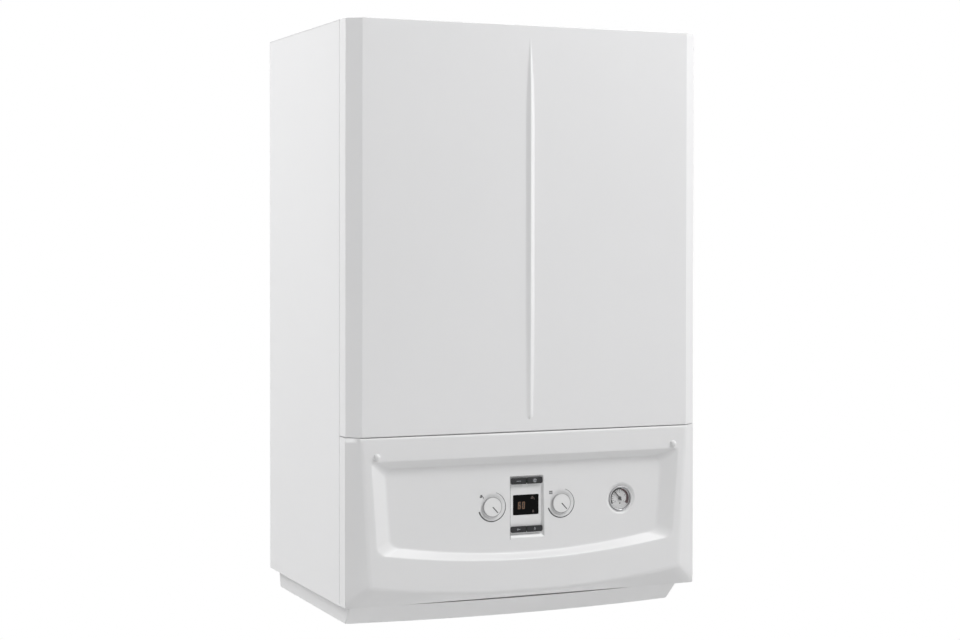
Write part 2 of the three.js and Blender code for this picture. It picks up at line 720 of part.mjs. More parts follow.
function gaugeNeedle() {
  const dial = floorY + dishDepth - 2.2 + dialDepth;
  const t = THREE.MathUtils.degToRad(needleAngle);
  const spot = (along, across) => [gaugeX + along * Math.cos(t) - across * Math.sin(t),
    gaugeHeight + along * Math.sin(t) + across * Math.cos(t)];
  const outline = [spot(-4, -0.7), spot(needleLength, -0.3), spot(needleLength, 0.3), spot(-4, 0.7)];
  const arm = loft([dial - 1.4, dial - 0.8].map((y) => outline.map(([x, z]) => [x, y, z])));
  return join(arm, bar('y', 2.6, dial - 2.2, dial - 0.5, [gaugeX, gaugeHeight], 16),
    bar('y', 1, dial - 0.6, dial + 4, [gaugeX, gaugeHeight], 12));
}

function gaugeLens() {
  const rim = floorY + dishDepth - 2.2;
  return bar('y', gaugeRadius - gaugeRim - 0.15, rim + 0.8, rim + 0.8 + lensThickness,
    [gaugeX, gaugeHeight], 36);
}

function coverScrew(sign) {
  const at = [sign * screwX, 0, screwHeight];
  return turned('y', [[0, front - screwHeadHeight],
    [screwHeadRadius * 0.55, front - screwHeadHeight * 0.93],
    [screwHeadRadius * 0.88, front - screwHeadHeight * 0.72],
    [screwHeadRadius, front - screwHeadHeight * 0.4], [screwHeadRadius, front - 0.1],
    [screwShankRadius, front - 0.1], [screwShankRadius, front + screwLength],
    [0, front + screwLength]], at, 20);
}

// ---------------------------------------------------------------- tray
function trayRing(z, inset, wall) {
  const share = (-trayTopGap - z) / (trayDrop - trayTopGap);
  const half = side - THREE.MathUtils.lerp(trayInsetTop, trayInsetFoot, share) - inset;
  const reach = THREE.MathUtils.lerp(trayTopFront, trayFootFront, share) - wall;
  const bow = THREE.MathUtils.lerp(trayTopBow, trayFootBow, share);
  const steps = 16;
  const ring = [[-half, -1 - inset, z], [half, -1 - inset, z]];
  for (let k = 0; k <= steps; k += 1) {
    const u = 1 - (2 * k) / steps;
    ring.push([half * u, -reach - bow * (1 - u * u), z]);
  }
  return ring;
}

function bottomTray() {
  const lean = trayWall * 1.45;
  const outer = loft([trayRing(-trayDrop, 0, 0), trayRing(-trayTopGap, 0, 0)]);
  const inner = loft([trayRing(-trayDrop + trayWall, trayWall, lean),
    trayRing(-trayTopGap + 1, trayWall, lean)]);
  const slot = block(-245, 245, -70, -150, -trayDrop - 1, -trayDrop + trayWall + 1);
  const tabs = [-1, 1].flatMap((s) => [-40, -300].map((y) => block(s * (side - trayInsetFoot - 0.6),
    s * (side - trayInsetFoot - 3.4), y, y - 24, -trayDrop + 1, plateHeight - seat)));
  return join(cut(outer, inner, slot), ...tabs);
}

// ---------------------------------------------------------------- hot-water tank
const portAcross = 0.33 * tankRadius;
const portAlong = 0.614 * tankRadius;
const tankPorts = () => [[-1, 1], [1, 1], [-1, -1], [1, -1]].map(([h, v]) => (
  [tankX + h * portAcross, tankY + v * portAlong]));

function storageTank() {
  const z0 = tankFoot;
  const z1 = tankFoot + tankHeight;
  const dome = 26;
  const r = tankRadius;
  const w = tankWall;
  const outer = turned('z', [[0, z0], [r * 0.6, z0 + dome * 0.22], [r - 8, z0 + dome], [r, z0 + dome + 12],
    [r, z1 - dome - 12], [r - 8, z1 - dome], [r * 0.6, z1 - dome * 0.22], [0, z1]], [tankX, tankY, 0], 24);
  const inner = turned('z', [[0, z0 + w], [r * 0.6 - w, z0 + dome * 0.22 + w], [r - 8 - w, z0 + dome + w],
    [r - w, z0 + dome + 12], [r - w, z1 - dome - 12], [r - 8 - w, z1 - dome - w],
    [r * 0.6 - w, z1 - dome * 0.22 - w], [0, z1 - w]], [tankX, tankY, 0], 24);
  const necks = tankPorts().map((at) => bar('z', portRadius, shelfTop + seat + 3, z0 + dome, at, 14));
  const bores = tankPorts().map((at) => bar('z', portRadius - portWall, shelfTop, z0 + dome + 2,
    at, 14));
  const hatch = bar('z', 36, z1 - 12, z1 + 7, [tankX, tankY], 28);
  const hatchBore = bar('z', 30, z1 - 20, z1 + 8, [tankX, tankY], 28);
  return cut(join(cut(outer, inner), ...necks, hatch), ...bores, hatchBore);
}

function tankJacket() {
  const gap = tankFoamGap;
  const z0 = shelfTop + seat;
  const z1 = tankFoot + tankHeight + tankFoam;
  const outer = bar('z', tankRadius + tankFoam, z0, z1, [tankX, tankY], 28);
  const r = tankRadius + gap;
  const low = tankFoot - gap;
  const high = tankFoot + tankHeight + gap;
  const inner = turned('z', [[0, low], [r * 0.6, low + 26 * 0.22], [r - 8, low + 26], [r, low + 38],
    [r, high - 38], [r - 8, high - 26], [r * 0.6, high - 26 * 0.22], [0, high]], [tankX, tankY, 0], 24);
  const holes = tankPorts().map(([x, y]) => bar('z', portRadius + gap, z0 - 1, tankFoot + 30, [x, y], 14));
  const hatch = bar('z', 50, high - 8, z1 + 1, [tankX, tankY], 28);
  return cut(outer, inner, ...holes, hatch);
}

// heating coil: helix with its two tails brought down to the front ports
function tankCoil() {
  const stepsPerTurn = 18;
  const sides = 6;
  const base = tankFoot + 70;
  const path = [];
  const [inX, inY] = tankPorts()[2];
  const [outX, outY] = tankPorts()[3];
  const tailStart = shelfTop + seat + 4;
  for (let k = 0; k <= coilTurns * stepsPerTurn; k += 1) {
    const t = (2 * Math.PI * k) / stepsPerTurn - Math.PI * 0.65;
    path.push(new THREE.Vector3(tankX + coilRadius * Math.cos(t), tankY + coilRadius * Math.sin(t),
      base + (coilPitch * k) / stepsPerTurn));
  }
  const inner = coilRadius - coilInset;
  const drop = path.at(-1);
  const exit = [[outX, outY, tailStart], [outX, outY, base - 30], [tankX + 10, tankY - inner, base - 10],
    [tankX + 10, tankY - inner, drop.z - 30]];
  const entry = [[inX, inY, tailStart], [inX, inY, base - 24]];
  const along = [...entry.map((p) => new THREE.Vector3(...p)), ...path, ...exit.reverse()
    .map((p) => new THREE.Vector3(...p))];
  let across = new THREE.Vector3(1, 0.2, 0.1);
  const rings = along.map((p, i) => {
    const after = along[Math.min(i + 1, along.length - 1)];
    const forward = after.clone().sub(along[Math.max(i - 1, 0)]).normalize();
    across = across.clone().sub(forward.clone().multiplyScalar(across.dot(forward))).normalize();
    const third = forward.clone().cross(across);
    return Array.from({ length: sides }, (_, k) => {
      const t = (2 * Math.PI * k) / sides;
      return p.clone().add(across.clone().multiplyScalar(coilTube * Math.cos(t)))
        .add(third.clone().multiplyScalar(coilTube * Math.sin(t))).toArray();
    });
  });
  return loft(rings);
}

function tankFlange() {
  const z = tankFoot + tankHeight + 7 + seat;
  return cut(bar('z', 36, z, z + 6, [tankX, tankY], 28),
    bar('z', 10.4, z - 1, z + 7, [tankX, tankY], 16));
}

function tankAnode() {
  const z = tankFoot + tankHeight + 13 + 2 * seat;
  return join(bar('z', 14, z, z + 8, [tankX, tankY], 6), bar('z', 10, z - 9, z + 0.5, [tankX, tankY], 16),
    bar('z', 10, z - 190, z - 8, [tankX, tankY], 16));
}

// ---------------------------------------------------------------- burner side
function heatExchanger() {
  const drum = cut(bar('y', cellRadius, cellBack, cellFront, [cellX, cellHeight], 28),
    bar('y', cellRadius - cellWall, cellBack - cellWall, cellFront - 1, [cellX, cellHeight], 28));
  const neckFoot = cellHeight + Math.sqrt(cellRadius ** 2 - flueRadius ** 2) - 4;
  const neck = bar('z', flueRadius, neckFoot, cellHeight + cellRadius + 16, [cellX, flueY], 24);
  const throat = bar('z', flueRadius - flueWall, neckFoot - 20, cellHeight + cellRadius + 20,
    [cellX, flueY], 24);
  const brackets = [-1, 1].map((s) => block(cellX + s * 60 - 9, cellX + s * 60 + 9, cellBack - 1,
    backFace - seat, cellHeight - 20, cellHeight + 20));
  return cut(join(drum, neck, ...brackets), throat);
}

function burnerDoor() {
  const y0 = cellFront - seat;
  const y1 = y0 - doorThickness;
  const disc = bar('y', cellRadius + doorOverhang, y0, y1, [cellX, cellHeight], 28);
  const duct = block(fanX - 20, fanX + 20, y0, y1 - 22, cellHeight - cellRadius - 18, cellHeight - 20);
  const hub = bar('y', burnerRadius + 14, y1 + 1, y1 - 22, [cellX, cellHeight], 20);
  const passage = block(fanX - 16, fanX + 16, y1 - 3, y1 - 18, cellHeight - cellRadius - 19,
    cellHeight - 24);
  const mouth = bar('y', burnerRadius - 3, y0 + 1, y1 - 12, [cellX, cellHeight], 28);
  return cut(join(disc, duct, hub), passage, mouth);
}

function burnerTube() {
  const y0 = cellFront;
  return cut(bar('y', burnerRadius, y0 + 150, y0 + seat / 2, [cellX, cellHeight], 20),
    bar('y', burnerRadius - 2, y0 + 148, y0 - 1, [cellX, cellHeight], 20));
}

function flueDuct() {
  const z0 = cellHeight + cellRadius + 16 + seat;
  const z1 = caseHeight + collarRise - 2;
  return cut(bar('z', flueRadius, z0, z1, [cellX, flueY], 24),
    bar('z', flueRadius - flueWall, z0 - 1, z1 + 1, [cellX, flueY], 24));
}

function flueCollar() {
  const z0 = caseHeight + seat;
  const flange = bar('z', collarFlange, z0, z0 + collarSheet, [cellX, flueY], 28);
  const tube = bar('z', airGapRadius + collarSheet, z0, caseHeight + collarRise, [cellX, flueY], 28);
  const bore = bar('z', airGapRadius, z0 - 1, caseHeight + collarRise + 1, [cellX, flueY], 28);
  return cut(join(flange, tube), bore);
}

function fanHousing() {
  const back = fanFront + fanThick;
  const at = [fanX, fanHeight];
  const spiral = Array.from({ length: 28 }, (_, k) => {
    const t = (2 * Math.PI * k) / 36;
    const r = fanRadius + 6 * ((t / (2 * Math.PI) + 0.25) % 1);
    return [fanX + r * Math.cos(t), fanHeight + r * Math.sin(t)];
  });
  const scroll = loft([fanFront, back].map((y) => spiral.map(([x, z]) => [x, y, z])));
  const neckTop = cellHeight - cellRadius - 18 - seat;
  const neck = block(fanX - 20, fanX + 20, fanFront + 2, cellFront - doorThickness - 18,
    neckTop - 24, neckTop);
  const stem = block(fanX - 20, fanX + 20, fanFront, back, fanHeight + 30, neckTop);
  const chamber = bar('y', fanRadius - fanWall, fanFront + fanWall, back - fanWall, at, 28);
  const channel = block(fanX - 16, fanX + 16, fanFront + 5, back - 5, fanHeight + 20, neckTop - 4);
  const elbow = block(fanX - 16, fanX + 16, back - 5, cellFront - doorThickness - 14,
    neckTop - 20, neckTop - 4);
  const outlet = block(fanX - 16, fanX + 16, cellFront - doorThickness - 3, cellFront - doorThickness - 14,
    neckTop - 10, neckTop + 1);
  const inlet = bar('y', fanInlet, fanFront - 1, fanFront + fanWall + 1, at, 24);
  const shaft = bar('y', shaftRadius + shaftClear, back - fanWall - 1, back + 1, at, 16);
  return cut(join(scroll, stem, neck), chamber, channel, elbow, outlet, inlet, shaft);
}

function fanMotor() {
  const y0 = fanFront + fanThick + seat;
  return cut(bar('y', motorRadius, y0, y0 + motorLength, [fanX, fanHeight], 32),
    bar('y', shaftRadius + shaftClear, y0 - 1, y0 + motorLength - 8, [fanX, fanHeight], 16));
}

function fanImpeller() {
  const back = fanFront + fanThick - fanWall - 3;
  const at = [fanX, fanHeight];
  const disc = bar('y', impellerRadius, back - 2, back, at, 28);
  const hub = bar('y', 12, back - impellerThick, back - 1, at, 20);
  const shaft = bar('y', shaftRadius, back - 1, fanFront + fanThick + seat + motorLength - 10, at, 16);
  const blades = Array.from({ length: 12 }, (_, k) => {
    const t = (2 * Math.PI * k) / 12;
    const spot = (r, turn, off) => {
      const a = t + turn;
      return [fanX + r * Math.cos(a) - off * Math.sin(a), fanHeight + r * Math.sin(a) + off * Math.cos(a)];
    };
    const plan = [spot(24, 0, -0.8), spot(impellerRadius, -0.35, -0.8), spot(impellerRadius, -0.35, 0.8),
      spot(24, 0, 0.8)];
    return loft([back - impellerThick, back - 1.5].map((y) => plan.map(([x, z]) => [x, y, z])));
  });
  return join(disc, hub, shaft, ...blades);
}

const valveX = cellX + 107;
const valveY = connectionY - 20;
const gasValveFoot = shelfTop + 66;
const gasValveTop = gasValveFoot + 75;

function gasValve() {
  const body = block(valveX - 26, valveX + 26, valveY - 34, valveY + 34, gasValveFoot + 8, gasValveTop - 8);
  const middle = (gasValveFoot + gasValveTop) / 2;
  const coils = [-14, 14].map((dy) => bar('x', 11, valveX - 44, valveX - 25,
    [valveY + dy, middle], 20));
  return join(body, ...coils, bar('z', 14, gasValveFoot, gasValveFoot + 10, [valveX, valveY], 6),
    bar('z', 14, gasValveTop - 10, gasValveTop, [valveX, valveY], 6));
}

function gasLine() {
  const over = gasValveTop + 55;
  const before = fanFront - 32;
  return pipe([[valveX, valveY, gasValveTop + seat], [valveX, valveY, over], [valveX, before, over],
    [fanX, before, fanHeight + 5], [fanX, fanFront - 0.2, fanHeight]], 6.5, 26);
}

function condensateTrap() {
  const x = cellX + 87;
  const y = cellFront + 80;
  const drain = 62;               // how far from the heat exchanger's middle its drain is
  const z0 = shelfTop + seat;
  return join(turned('z', [[0, z0], [24, z0], [24, z0 + 60], [18, z0 + 70], [9, z0 + 76], [0, z0 + 76]],
    [x, y, 0], 24),
  pipe([[x, y, z0 + 70], [x, y, cellHeight - 150], [cellX + drain, y, cellHeight - 115],
    [cellX + drain, y, cellHeight - Math.sqrt(cellRadius ** 2 - drain ** 2) - 5.5]], 8, 18));
}

function heatingVessel() {
  const y0 = backFace - seat;
  const r = vesselShare * (cellHeight - shelfTop);
  const x = -(panelInside - vesselSideGap - r);
  const z = shelfTop + vesselGap + r;
  return turned('y', [[0, y0], [r - 28, y0], [r - 6, y0 - 14], [r, y0 - 27], [r, y0 - 33],
    [r - 6, y0 - 46], [r - 28, y0 - 60], [0, y0 - 60]], [x, 0, z], 28);
}

// ---------------------------------------------------------------- lower pipework
const connections = () => [-2, -1, 0, 1, 2].map((k) => [k * connectionSpacing,
  k === 0 ? gasPipeRadius : pipeRadius]);
const flowX = -2 * connectionSpacing;
const hotX = -connectionSpacing;
const coldX = connectionSpacing;
const returnX = 2 * connectionSpacing;

// union nut under the pipe plate
const union = (x, r) => bar('z', r + 5, unionFoot, plateHeight - seat, [x, connectionY], 6);

const valveFoot = 60;
const valveTop = 150;

function flowPipe() {
  return join(bar('z', pipeRadius, pipeFoot, valveFoot - seat, [flowX, connectionY], 20),
    union(flowX, pipeRadius));
}

function diverterBody() {
  const at = [flowX, connectionY];
  const body = bar('z', 21, valveFoot, valveTop, at, 28);
  const z = valveFoot + 58;
  const branch = bar('x', 12, flowX, flowX - 46, [connectionY, z], 20);
  const riser = pipe([[flowX - 46, connectionY, z], [flowX - 62, connectionY, z],
    [flowX - 62, connectionY, shelfHeight - seat]], 10, 14);
  const bore = bar('z', 13, valveFoot + 8, valveTop + 1, at, 24);
  const branchBore = bar('x', 8, flowX, flowX - 40, [connectionY, z], 16);
  return cut(join(body, branch, riser), bore, branchBore);
}

function diverterActuator() {
  const at = [flowX, connectionY];
  const z0 = valveTop + seat;
  return cut(join(bar('z', 19, z0, z0 + 12, at, 24), block(flowX - 24, flowX + 24, connectionY - 24,
    connectionY + 24, z0 + 11, z0 + 62)), bar('z', 3.6, z0 - 1, z0 + 40, at, 16));
}

function diverterStem() {
  const at = [flowX, connectionY];
  const seatLow = valveFoot + 10;
  return join(bar('z', 3, seatLow, valveTop + 28, at, 16),
    bar('z', 11.5, seatLow + 20, seatLow + 26, at, 20));
}

function hotPipe() {
  const [px, py] = tankPorts()[0];
  const around = connectionY - 58;
  return join(pipe([[hotX, connectionY, pipeFoot], [hotX, connectionY, shelfHeight - 122],
    [hotX + 14, around, shelfHeight - 82], [px - 24, around, shelfHeight - 67],
    [px, py, shelfHeight - 32], [px, py, shelfTop + 2.8]], pipeRadius, 22),
  union(hotX, pipeRadius));
}

function coldPipe() {
  const [px, py] = tankPorts()[1];
  const behind = backFace - 36;
  return join(pipe([[coldX, connectionY, pipeFoot], [coldX, connectionY, plateTop + 16],
    [coldX, behind, plateTop + 52], [px, behind, shelfHeight - 72], [px, py, shelfHeight - 32],
    [px, py, shelfTop + 2.8]], pipeRadius, 20),
  union(coldX, pipeRadius));
}

function returnPipe() {
  return join(bar('z', pipeRadius, pipeFoot, manifoldFoot - seat, [returnX, connectionY], 20),
    union(returnX, pipeRadius));
}

function gasPipe() {
  return join(pipe([[0, connectionY, pipeFoot], [0, connectionY, shelfHeight - 52],
    [valveX, valveY, shelfHeight - 26], [valveX, valveY, gasValveFoot - seat]], gasPipeRadius, 16),
  union(0, gasPipeRadius));
}

const shelfHoles = () => [
  bar('z', gasPipeRadius + pipeClear, shelfHeight - 1, shelfTop + 1, [valveX, valveY], 16),
  ...tankPorts().map((at) => bar('z', portRadius + pipeClear, shelfHeight - 1, shelfTop + 1, at, 14)),
];

const manifoldFoot = 40;
const manifoldTop = 78;
const pumpX = returnX + 20;
const pumpHeight = manifoldTop + 50;
const pumpRadius = 40;
const reliefX = returnX + 92;
const tapX = returnX + 75;
const tapShaft = 4;
const glandX = flowX - 40;
const glandY = connectionY - 140;
const glandRadius = 8;

function manifold() {
  const body = tileFlat(returnX - 25, reliefX + 16, connectionY - 28, connectionY + 28,
    manifoldFoot, manifoldTop, 6);
  const reliefStub = bar('z', 9, manifoldTop - 1, manifoldTop + 6, [reliefX, connectionY], 6);
  const pumpSeat = bar('z', 16, manifoldTop - 1, pumpHeight - pumpRadius - seat + 4,
    [pumpX, connectionY], 20);
  const saddle = bar('y', pumpRadius + seat, connectionY - 60, connectionY + 60, [pumpX, pumpHeight], 24);
  return cut(join(body, reliefStub, pumpSeat), saddle,
    bar('z', tapShaft + 0.4, manifoldFoot - 1, manifoldFoot + 22, [tapX, connectionY], 16));
}

// block with rounded upright edges
function tileFlat(x0, x1, y0, y1, z0, z1, r) {
  const outline = roundedRect((x1 - x0) / 2, (y1 - y0) / 2, r, 3)
    .map(([x, y]) => [x + (x0 + x1) / 2, y + (y0 + y1) / 2]);
  return prism(outline, z0, z1);
}

const pumpFront = connectionY - 28;
const pumpBack = connectionY + 22;
const pumpMotorLength = 92;

function pumpBody() {
  const at = [pumpX, pumpHeight];
  const shell = bar('y', pumpRadius, pumpFront, pumpBack, at, 24);
  const discharge = bar('z', 11, pumpHeight + pumpRadius - 4, shelfHeight - seat,
    [pumpX, (pumpFront + pumpBack) / 2], 20);
  const chamber = bar('y', pumpRadius - 5, pumpFront + 4, pumpBack - 5, at, 24);
  const mouth = bar('y', 12, pumpFront - 1, pumpFront + 5, at, 20);
  return cut(join(shell, discharge), chamber, mouth);
}

function pumpMotor() {
  const y0 = pumpFront - seat;
  return cut(join(bar('y', 38, y0, y0 - pumpMotorLength, [pumpX, pumpHeight], 24),
    block(pumpX - 22, pumpX + 22, y0 - 20, y0 - 78, pumpHeight + 30, pumpHeight + 52)),
  bar('y', 7, y0 + 1, y0 - pumpMotorLength + 14, [pumpX, pumpHeight], 16));
}

function pumpRotor() {
  const at = [pumpX, pumpHeight];
  const vanes = Array.from({ length: 6 }, (_, k) => {
    const t = (2 * Math.PI * k) / 6;
    const spot = (r, turn, off) => [pumpX + r * Math.cos(t + turn) - off * Math.sin(t + turn),
      pumpHeight + r * Math.sin(t + turn) + off * Math.cos(t + turn)];
    const plan = [spot(9, 0, -1), spot(29, -0.5, -1), spot(29, -0.5, 1), spot(9, 0, 1)];
    return loft([pumpFront + 9, pumpFront + 20].map((y) => plan.map(([x, z]) => [x, y, z])));
  });
  return join(bar('y', 31, pumpFront + 6, pumpFront + 10, at, 28),
    bar('y', 6, pumpFront + 12, pumpFront - pumpMotorLength + 18, at, 16),
    bar('y', 11, pumpFront + 9, pumpFront + 21, at, 20), ...vanes);
}

function reliefValve() {
  const at = [reliefX, connectionY];
  const z0 = manifoldTop + 6 + seat;
  const outlet = bar('x', 7, reliefX, reliefX + 24, [connectionY, z0 + 12], 16);
  return cut(join(bar('z', 11, z0, z0 + 30, at, 20), outlet),
    bar('z', 3.4, z0 + 12, z0 + 31, at, 16));
}

function reliefKnob() {
  const at = [reliefX, connectionY];
  const z0 = manifoldTop + 6 + seat + 30 + 0.5;
  return join(bar('z', 12.5, z0, z0 + 14, at, 8), bar('z', 3, z0 - 16, z0 + 1, at, 16));
}

function fillingHandle() {
  const at = [tapX, connectionY];
  return join(bar('z', tapShaft, -16, manifoldFoot + 20, at, 16), bar('z', 8, -28, -15, at, 16),
    block(tapX - 17, tapX + 17, connectionY - 4, connectionY + 4, -27, -18));
}

function potableVessel() {
  const z0 = plateTop + seat;
  const x = -(panelInside - 8.8 - 42);
  return turned('z', [[0, z0], [11, z0], [11, z0 + 36], [34, z0 + 44], [42, z0 + 58], [42, z0 + 150],
    [34, z0 + 166], [0, z0 + 172]], [x, connectionY - 105, 0], 28);
}

function mainsGland() {
  const at = [glandX, glandY];
  return cut(join(bar('z', glandRadius, -14, plateTop + 8, at, 16),
    bar('z', 12, -6, plateHeight - seat, at, 6), bar('z', 12, plateTop + seat, plateTop + 6, at, 6)),
  bar('z', 4.2, -15, plateTop + 9, at, 16));
}

// ---------------------------------------------------------------- assembly
const boiler = new THREE.Group();
boiler.position.z = -bracketHeight;

function add(name, manifold, material) {
  const mesh = new THREE.Mesh(toGeometry(manifold), material);
  mesh.name = name;
  boiler.add(mesh);
}

add('wall_bracket', wallBracket(), galvanised());
add('back_panel', backPanel(), galvanised());
add('left_side_panel', sidePanel(-1), whitePaint());
add('right_side_panel', sidePanel(1), whitePaint());
add('top_panel', topPanel(), whitePaint());
add('support_shelf', supportShelf(), galvanised());
add('pipe_plate', pipePlate(), galvanised());
add('bottom_tray', bottomTray(), whitePlastic());
add('left_cheek', cheek(-1), whitePaint());
add('right_cheek', cheek(1), whitePaint());
add('upper_front_cover', upperCover(), whitePaint());
add('lower_front_cover', lowerCover(), whitePlastic());

add('left_cover_screw', coverScrew(-1), whitePlastic());
add('right_cover_screw', coverScrew(1), whitePlastic());
add('control_box', controlBox(), darkGrey());
add('control_board', controlBoard(), circuitGreen());
add('display_window', displayWindow(), blackPlastic());
['key_upper_left', 'key_upper_right', 'key_lower_left', 'key_lower_right'].forEach((name, i) => {
  add(name, key(keyPlaces()[i]), darkGrey());
});
['hot_water_knob', 'heating_knob'].forEach((name, i) => add(name, knob(knobPlaces()[i]), whitePlastic()));
add('gauge_body', gaugeBody(), stainless());
add('gauge_needle', gaugeNeedle(), blackPlastic());
add('gauge_lens', gaugeLens(), finish(0xe8ecee, 0.05, 0));

add('storage_tank', storageTank(), stainless());
add('tank_jacket', tankJacket(), foam());
add('tank_coil', tankCoil(), stainless());
add('tank_flange', tankFlange(), brass());
add('tank_anode', tankAnode(), brass());

add('heat_exchanger', heatExchanger(), stainless());
add('burner_door', burnerDoor(), castAluminium());
add('burner_tube', burnerTube(), stainless());
add('flue_duct', flueDuct(), castAluminium());
add('flue_collar', flueCollar(), whitePlastic());
add('fan_housing', fanHousing(), castAluminium());
add('fan_motor', fanMotor(), blackPlastic());
add('fan_impeller', fanImpeller(), castAluminium());
add('gas_valve', gasValve(), castAluminium());
add('gas_line', gasLine(), copper());
add('condensate_trap', condensateTrap(), darkGrey());
add('heating_vessel', heatingVessel(), redPaint());

add('flow_pipe', flowPipe(), copper());
add('diverter_body', diverterBody(), brass());
add('diverter_actuator', diverterActuator(), blackPlastic());
add('diverter_stem', diverterStem(), brass());
add('hot_pipe', hotPipe(), copper());
add('cold_pipe', coldPipe(), copper());
add('return_pipe', returnPipe(), copper());
add('gas_pipe', gasPipe(), copper());
add('hydraulic_manifold', manifold(), brass());
add('pump_body', pumpBody(), castAluminium());
add('pump_motor', pumpMotor(), blackPlastic());
add('pump_rotor', pumpRotor(), stainless());
add('relief_valve', reliefValve(), brass());
add('relief_knob', reliefKnob(), redPaint());
add('filling_handle', fillingHandle(), blackPlastic());
add('potable_vessel', potableVessel(), whitePaint());
add('mains_gland', mainsGland(), blackPlastic());

export default boiler;
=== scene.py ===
# %% [markdown]
# # A wall-hung combi boiler with a built-in hot-water tank
# The real boiler is a white sheet-metal case that hangs on a wall. Two covers close its front: a
# tall steel one with a pressed rib, and a moulded one that carries the controls. This lesson loads
# the boiler's measured frame, dresses every part of it, and lights it like a studio picture.

# %% Load the frame
import bpy
import bmesh
import json
import math
from mathutils import Matrix, Vector
from mathutils.geometry import tessellate_polygon

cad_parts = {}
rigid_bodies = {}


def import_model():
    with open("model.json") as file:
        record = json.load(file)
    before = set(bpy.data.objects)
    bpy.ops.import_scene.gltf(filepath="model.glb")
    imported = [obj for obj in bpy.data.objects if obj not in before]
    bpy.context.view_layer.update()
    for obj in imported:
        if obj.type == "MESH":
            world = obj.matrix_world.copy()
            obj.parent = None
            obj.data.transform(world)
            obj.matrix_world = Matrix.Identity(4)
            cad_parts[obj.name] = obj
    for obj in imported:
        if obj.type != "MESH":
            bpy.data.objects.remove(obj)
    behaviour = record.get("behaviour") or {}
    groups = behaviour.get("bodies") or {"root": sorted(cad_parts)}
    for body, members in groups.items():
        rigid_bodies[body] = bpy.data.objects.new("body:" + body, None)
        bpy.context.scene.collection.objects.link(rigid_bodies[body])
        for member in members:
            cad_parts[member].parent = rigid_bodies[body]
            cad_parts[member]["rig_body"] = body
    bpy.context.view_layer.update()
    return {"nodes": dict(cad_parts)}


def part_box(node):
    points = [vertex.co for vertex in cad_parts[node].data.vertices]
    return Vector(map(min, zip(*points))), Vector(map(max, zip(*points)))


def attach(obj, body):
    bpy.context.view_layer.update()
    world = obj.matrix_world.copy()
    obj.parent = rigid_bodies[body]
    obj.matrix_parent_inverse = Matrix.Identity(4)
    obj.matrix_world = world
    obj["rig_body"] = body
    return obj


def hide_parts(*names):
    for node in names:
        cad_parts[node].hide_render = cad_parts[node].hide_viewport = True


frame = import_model()
nodes = frame["nodes"]

# %% [markdown]
# ## Places
# A drawing of the boiler counts from the lower edge of the side panels, in millimetres. Blender
# counts in metres from the wall bracket. One small function turns the first into the second, so
# that every number below can be read off the drawing.

# %% Places on the boiler, in millimetres
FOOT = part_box("left_side_panel")[0].z
SIDE = 300.0            # half the case's width
HEIGHT = 900.0
FRONT = -425.0          # flat front of both covers
BEVEL_BACK = -408.8     # back edge of the bevels
SEAM = -381.3           # the covers end here and the side panels begin
PANEL_FRONT = -379.9
SHEET = 1.2
RETURN = SIDE - 14      # how far the folded edges of the sheets reach inwards
COVER_FOOT = 262.0      # lower edge of the upper cover
FASCIA_TOP = 261.2      # upper edge of the lower cover
FLOOR = -413.0          # floor of the control recess
BAY = -409.0            # floor of the sunk field round the display
CONSOLE = 143.8         # height of the knobs and display
KNOB_X = 59.5
GAUGE_X, GAUGE_Z = 165.8, 145.6
SIDES = (("left", -1), ("right", 1))


def place(x, y, z):
    """A point of the drawing, in millimetres, as a place in the frame, in metres."""
    return Vector((x / 1000, y / 1000, FOOT + z / 1000))


def middle_of(node):
    """The middle of a frame solid, in drawing millimetres."""
    low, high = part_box(node)
    return (low.x + high.x) * 500, (low.y + high.y) * 500, ((low.z + high.z) / 2 - FOOT) * 1000


print("side panels start at", round(FOOT, 4), "m")

# %% [markdown]
# ## Node trees and their maths
# Finishes are built from noise, masks and a little arithmetic. `Tree` adds a node with its values
# and links in one call. `Number` wraps what comes out of a node, so that `mask * 0.3 + 0.1` can be
# written as in Python and adds its own nodes.


# %% A node tree, and a number that lives in it
class Number:
    """A value that a node gives. The usual signs add Math nodes."""

    def __init__(self, tree, socket):
        self.tree, self.socket = tree, socket

    def __add__(self, other):
        return self.tree.maths("ADD", self, other)

    def __sub__(self, other):
        return self.tree.maths("SUBTRACT", self, other)

    def __mul__(self, other):
        return self.tree.maths("MULTIPLY", self, other)

    def __gt__(self, other):
        return self.tree.maths("GREATER_THAN", self, other)


class Tree:
    """An emptied node tree that is filled node by node."""

    def __init__(self, tree):
        self.tree = tree
        tree.nodes.clear()

    def feed(self, socket, value):
        if isinstance(value, Number):
            value = value.socket
        if isinstance(value, bpy.types.NodeSocket):
            self.tree.links.new(value, socket)
        elif socket.type == "RGBA" and len(value) == 3:
            socket.default_value = (*value, 1)
        else:
            socket.default_value = value

    def make(self, kind, sockets=None, **settings):
        """A node of that kind: settings first, then values or links for its sockets."""
        node = self.tree.nodes.new(kind)
        for key, value in settings.items():
            setattr(node, key, value)
        for key, value in (sockets or {}).items():
            self.feed(node.inputs[key], value)
        return node

    def maths(self, operation, *values):
        node = self.make("ShaderNodeMath", dict(enumerate(values)), operation=operation)
        return Number(self, node.outputs[0])


finishes = {}


